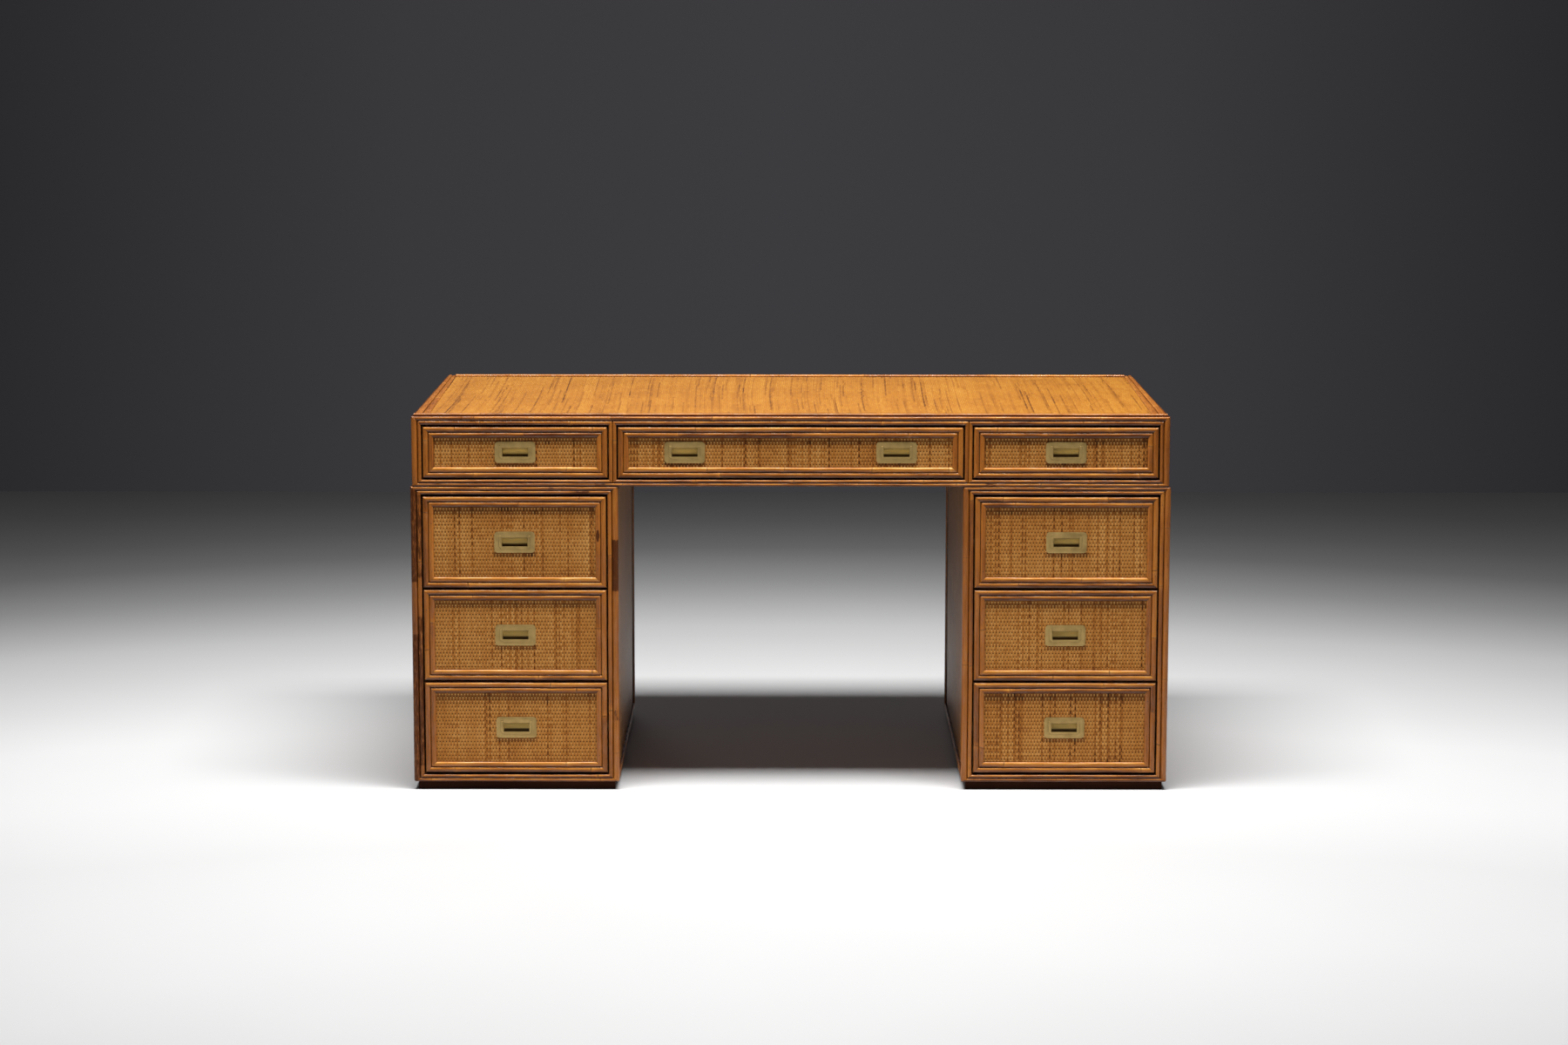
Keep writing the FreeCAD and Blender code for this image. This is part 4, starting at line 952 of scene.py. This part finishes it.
def drawerPlan():
    # each drawer front's width, height, middle and base
    slack = 2 * desk["sideGap"]
    upperBase = desk["joint"] + desk["upperFloor"] + desk["upperGap"]
    upperTall = desk["boardTop"] - desk["topBoard"] - desk["upperGap"] - upperBase
    upperInner, partition = upperBoard - desk["upperSideBoard"], desk["centreOpening"] / 2 + desk["partition"]
    kneeInner = desk["kneeSide"] + desk["rise"] + desk["sideBoard"]
    sideInner = desk["side"] - desk["rise"] - desk["sideBoard"]
    floor, gap = desk["plinth"] + desk["pedestalFloor"], desk["pedestalGap"]
    tall = (desk["joint"] - desk["pedestalTop"] - floor - 4 * gap) / 3
    upperWide, upperMiddle = upperInner - partition - slack, (upperInner + partition) / 2
    plan = {
        "upper_left": (upperWide, upperTall, -upperMiddle, upperBase),
        "upper_centre": (desk["centreOpening"] - slack, upperTall, 0, upperBase),
        "upper_right": (upperWide, upperTall, upperMiddle, upperBase),
    }
    wide, middle = sideInner - kneeInner - slack, (sideInner + kneeInner) / 2
    for side, x in (("left", -middle), ("right", middle)):
        for step, level in enumerate(("bottom", "middle", "top")):
            plan[side + "_" + level] = (wide, tall, x, floor + gap + (tall + gap) * step)
    return plan


def dressDrawer(name, seed, wide, tall, middle, base):
    body, width = name + "_drawer", desk["drawerCane"]
    face = Face((middle - wide / 2, -boardFront, base), rightward, -back)
    dice = random.Random(seed)
    tones = [dice.uniform(*drawerLook["toneSpread"]) + lift for lift in drawerLook["tones"]]
    framed = Surface(body + "_canes_dressed")
    addRing(framed, face, (0, wide, 0, tall), (width,) * 4, seed, tones[:4])
    addRing(framed, face, (width, wide - width, width, tall - width), (width,) * 4, seed + 50, tones[4:],
            scarred=drawerLook["scars"].get(name, ((),) * 4))
    framed.build([cane, nail], body, body + "_canes")

    pulls = pullLook["pairs"].get(name, (("", 0),))
    inset = 2 * width - drawerLook["underCanes"]
    halfWide, halfTall = wide / 2 - inset, tall / 2 - inset
    holes = [(halfWide + at - pullLook["halfWide"], halfWide + at + pullLook["halfWide"],
              halfTall - pullLook["halfTall"], halfTall + pullLook["halfTall"]) for _, at in pulls]
    woven = Surface(body + "_weave_dressed")
    panel = Face(face.at((inset, inset)), rightward, -back)
    wovenStrands(woven, panel, wide - 2 * inset, tall - 2 * inset, seed + 80, holes)
    woven.build([drawerWeave], body, body + "_weave")

    castCopy(body + ("_pull" if len(pulls) == 1 else "_pulls"), body, pullLook["easedPlate"])
    for suffix, _ in pulls:
        bail = body + suffix + "_bail"
        castCopy(bail, bail, pullLook["easedBail"])


for order, (name, sizes) in enumerate(drawerPlan().items()):
    dressDrawer(name, 5000 + order * 100, *sizes)
print("drawers dressed")


# Boards

def woodOf(node):
    if node.endswith("_drawer_box"):
        return woods["drawer"]
    if node == "plinths":
        return woods["plinth"]
    return woods["runner" if node in ("drawer_runners", "pedestal_dowels") else "case"]


for node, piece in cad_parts.items():
    if not piece.hide_render:
        for slot in piece.material_slots:
            slot.material = woodOf(node)
print("boards finished")


# Floor, backdrop, light and camera

# The falls are painted light falloff: shares of the colour at places in metres from the desk, or sideways on the
# backdrop; the floor's bow darkens it sideways too
stage = {
    "floorFront": -9000, "floorBack": 3950, "halfWide": 9000, "floorColour": (0.80, 0.80, 0.80),
    "floorLightFall": ((-2.5, 0.87), (-1.3, 0.84), (-0.8, 0.81), (-0.3, 0.89), (0.3, 0.92), (1.0, 0.80), (1.5, 0.71),
                  (1.8, 0.585), (2.2, 0.415), (2.8, 0.238), (3.3, 0.176), (3.95, 0.132), (4.6, 0.11)),
    "floorBow": 0.14, "floorBowReach": 4.5, "floorClouds": 0.8, "floorDull": 0.96,
    "backdropColour": (0.0455, 0.0440, 0.0485),
    "backdropLightFall": ((0.0, 1.0), (0.105, 0.90), (0.215, 0.52), (0.45, 0.42)),
}


def paintedFalloff(shade, along, colour, fall):
    # painted light falloff: a paint that darkens by (place, share) steps
    first, last = fall[0][0], fall[-1][0]
    steps = [((at - first) / (last - first), (value,) * 3) for at, value in fall]
    return shade.mix(1.0, colour, shade.ramp(shade.remap(along, first, last), steps), "MULTIPLY")


def floorMaterial():
    shade = Shader("paleFloor")
    place, colour = shade.place(), stage["floorColour"]
    duller = tuple(value * stage["floorDull"] for value in colour)
    paint = shade.ramp(shade.noise(place, stage["floorClouds"]), ((0.3, duller), (0.7, colour)))
    sideways, away, _ = shade.add("SeparateXYZ", Vector=place).node.outputs
    bow = shade.math("MINIMUM", shade.math("MULTIPLY", sideways, sideways), stage["floorBowReach"])
    away = shade.math("MULTIPLY_ADD", bow, stage["floorBow"], away)
    return shade.finish(Base_Color=paintedFalloff(shade, away, paint, stage["floorLightFall"]),
                        Roughness=0.6, Specular_IOR_Level=0.2)


def backdropWorld():
    shade = Shader("backdrop", "worlds", "Background")
    sideways = shade.add("SeparateXYZ", output=0, Vector=shade.add("TexCoord", output=0))
    colour = opaque(stage["backdropColour"])
    # painted light falloff: the backdrop darkens sideways
    return shade.finish(
        Color=paintedFalloff(shade, shade.math("ABSOLUTE", sideways), colour, stage["backdropLightFall"]))


def addFloor():
    side, front, far = stage["halfWide"], stage["floorFront"], stage["floorBack"]
    corners = [(x * mm, y * mm, 0) for x, y in ((-side, front), (side, front), (side, far), (-side, far))]
    mesh = bpy.data.meshes.new("floor")
    mesh.from_pydata(corners, [], [(0, 1, 2, 3)])
    mesh.materials.append(floorMaterial())
    floor = bpy.data.objects.new("floor", mesh)
    bpy.context.scene.collection.objects.link(floor)


lights = {
    "overhead": {"place": (0, -980, 3900), "aim": (0, 0, 600), "size": (3200, 1000), "power": 290},
    "rear": {"place": (-600, 3500, 2900), "aim": (0, 300, 300), "size": (2400, 1200), "power": 8},
}


def addLamp(name, made):
    data = bpy.data.lights.new(name, "AREA")
    data.shape = "RECTANGLE"
    data.size, data.size_y = (value * mm for value in made["size"])
    data.energy = made["power"]
    lamp = bpy.data.objects.new(name, data)
    bpy.context.scene.collection.objects.link(lamp)
    lamp.location = [value * mm for value in made["place"]]
    aim = Vector([value * mm for value in made["aim"]]) - lamp.location
    lamp.rotation_euler = aim.to_track_quat("-Z", "Y").to_euler()


# Tilt, below the level, and roll are in degrees
view = {"place": (-13.8, -7285.4, 1558.8), "tilt": 8.393, "roll": -0.049, "lens": 81.32, "sensor": 36}


def addCamera():
    data = bpy.data.cameras.new("camera")
    data.sensor_width = view["sensor"]
    data.lens = view["lens"]
    camera = bpy.data.objects.new("camera", data)
    bpy.context.scene.collection.objects.link(camera)
    camera.location = [value * mm for value in view["place"]]
    camera.rotation_euler = (math.radians(90 - view["tilt"]), math.radians(view["roll"]), 0)
    return camera


addFloor()
bpy.context.scene.world = backdropWorld()
for name, made in lights.items():
    addLamp(name, made)
bpy.context.scene.camera = addCamera()
bpy.context.scene.view_settings.view_transform = "Standard"
print("floor, lights and camera set")
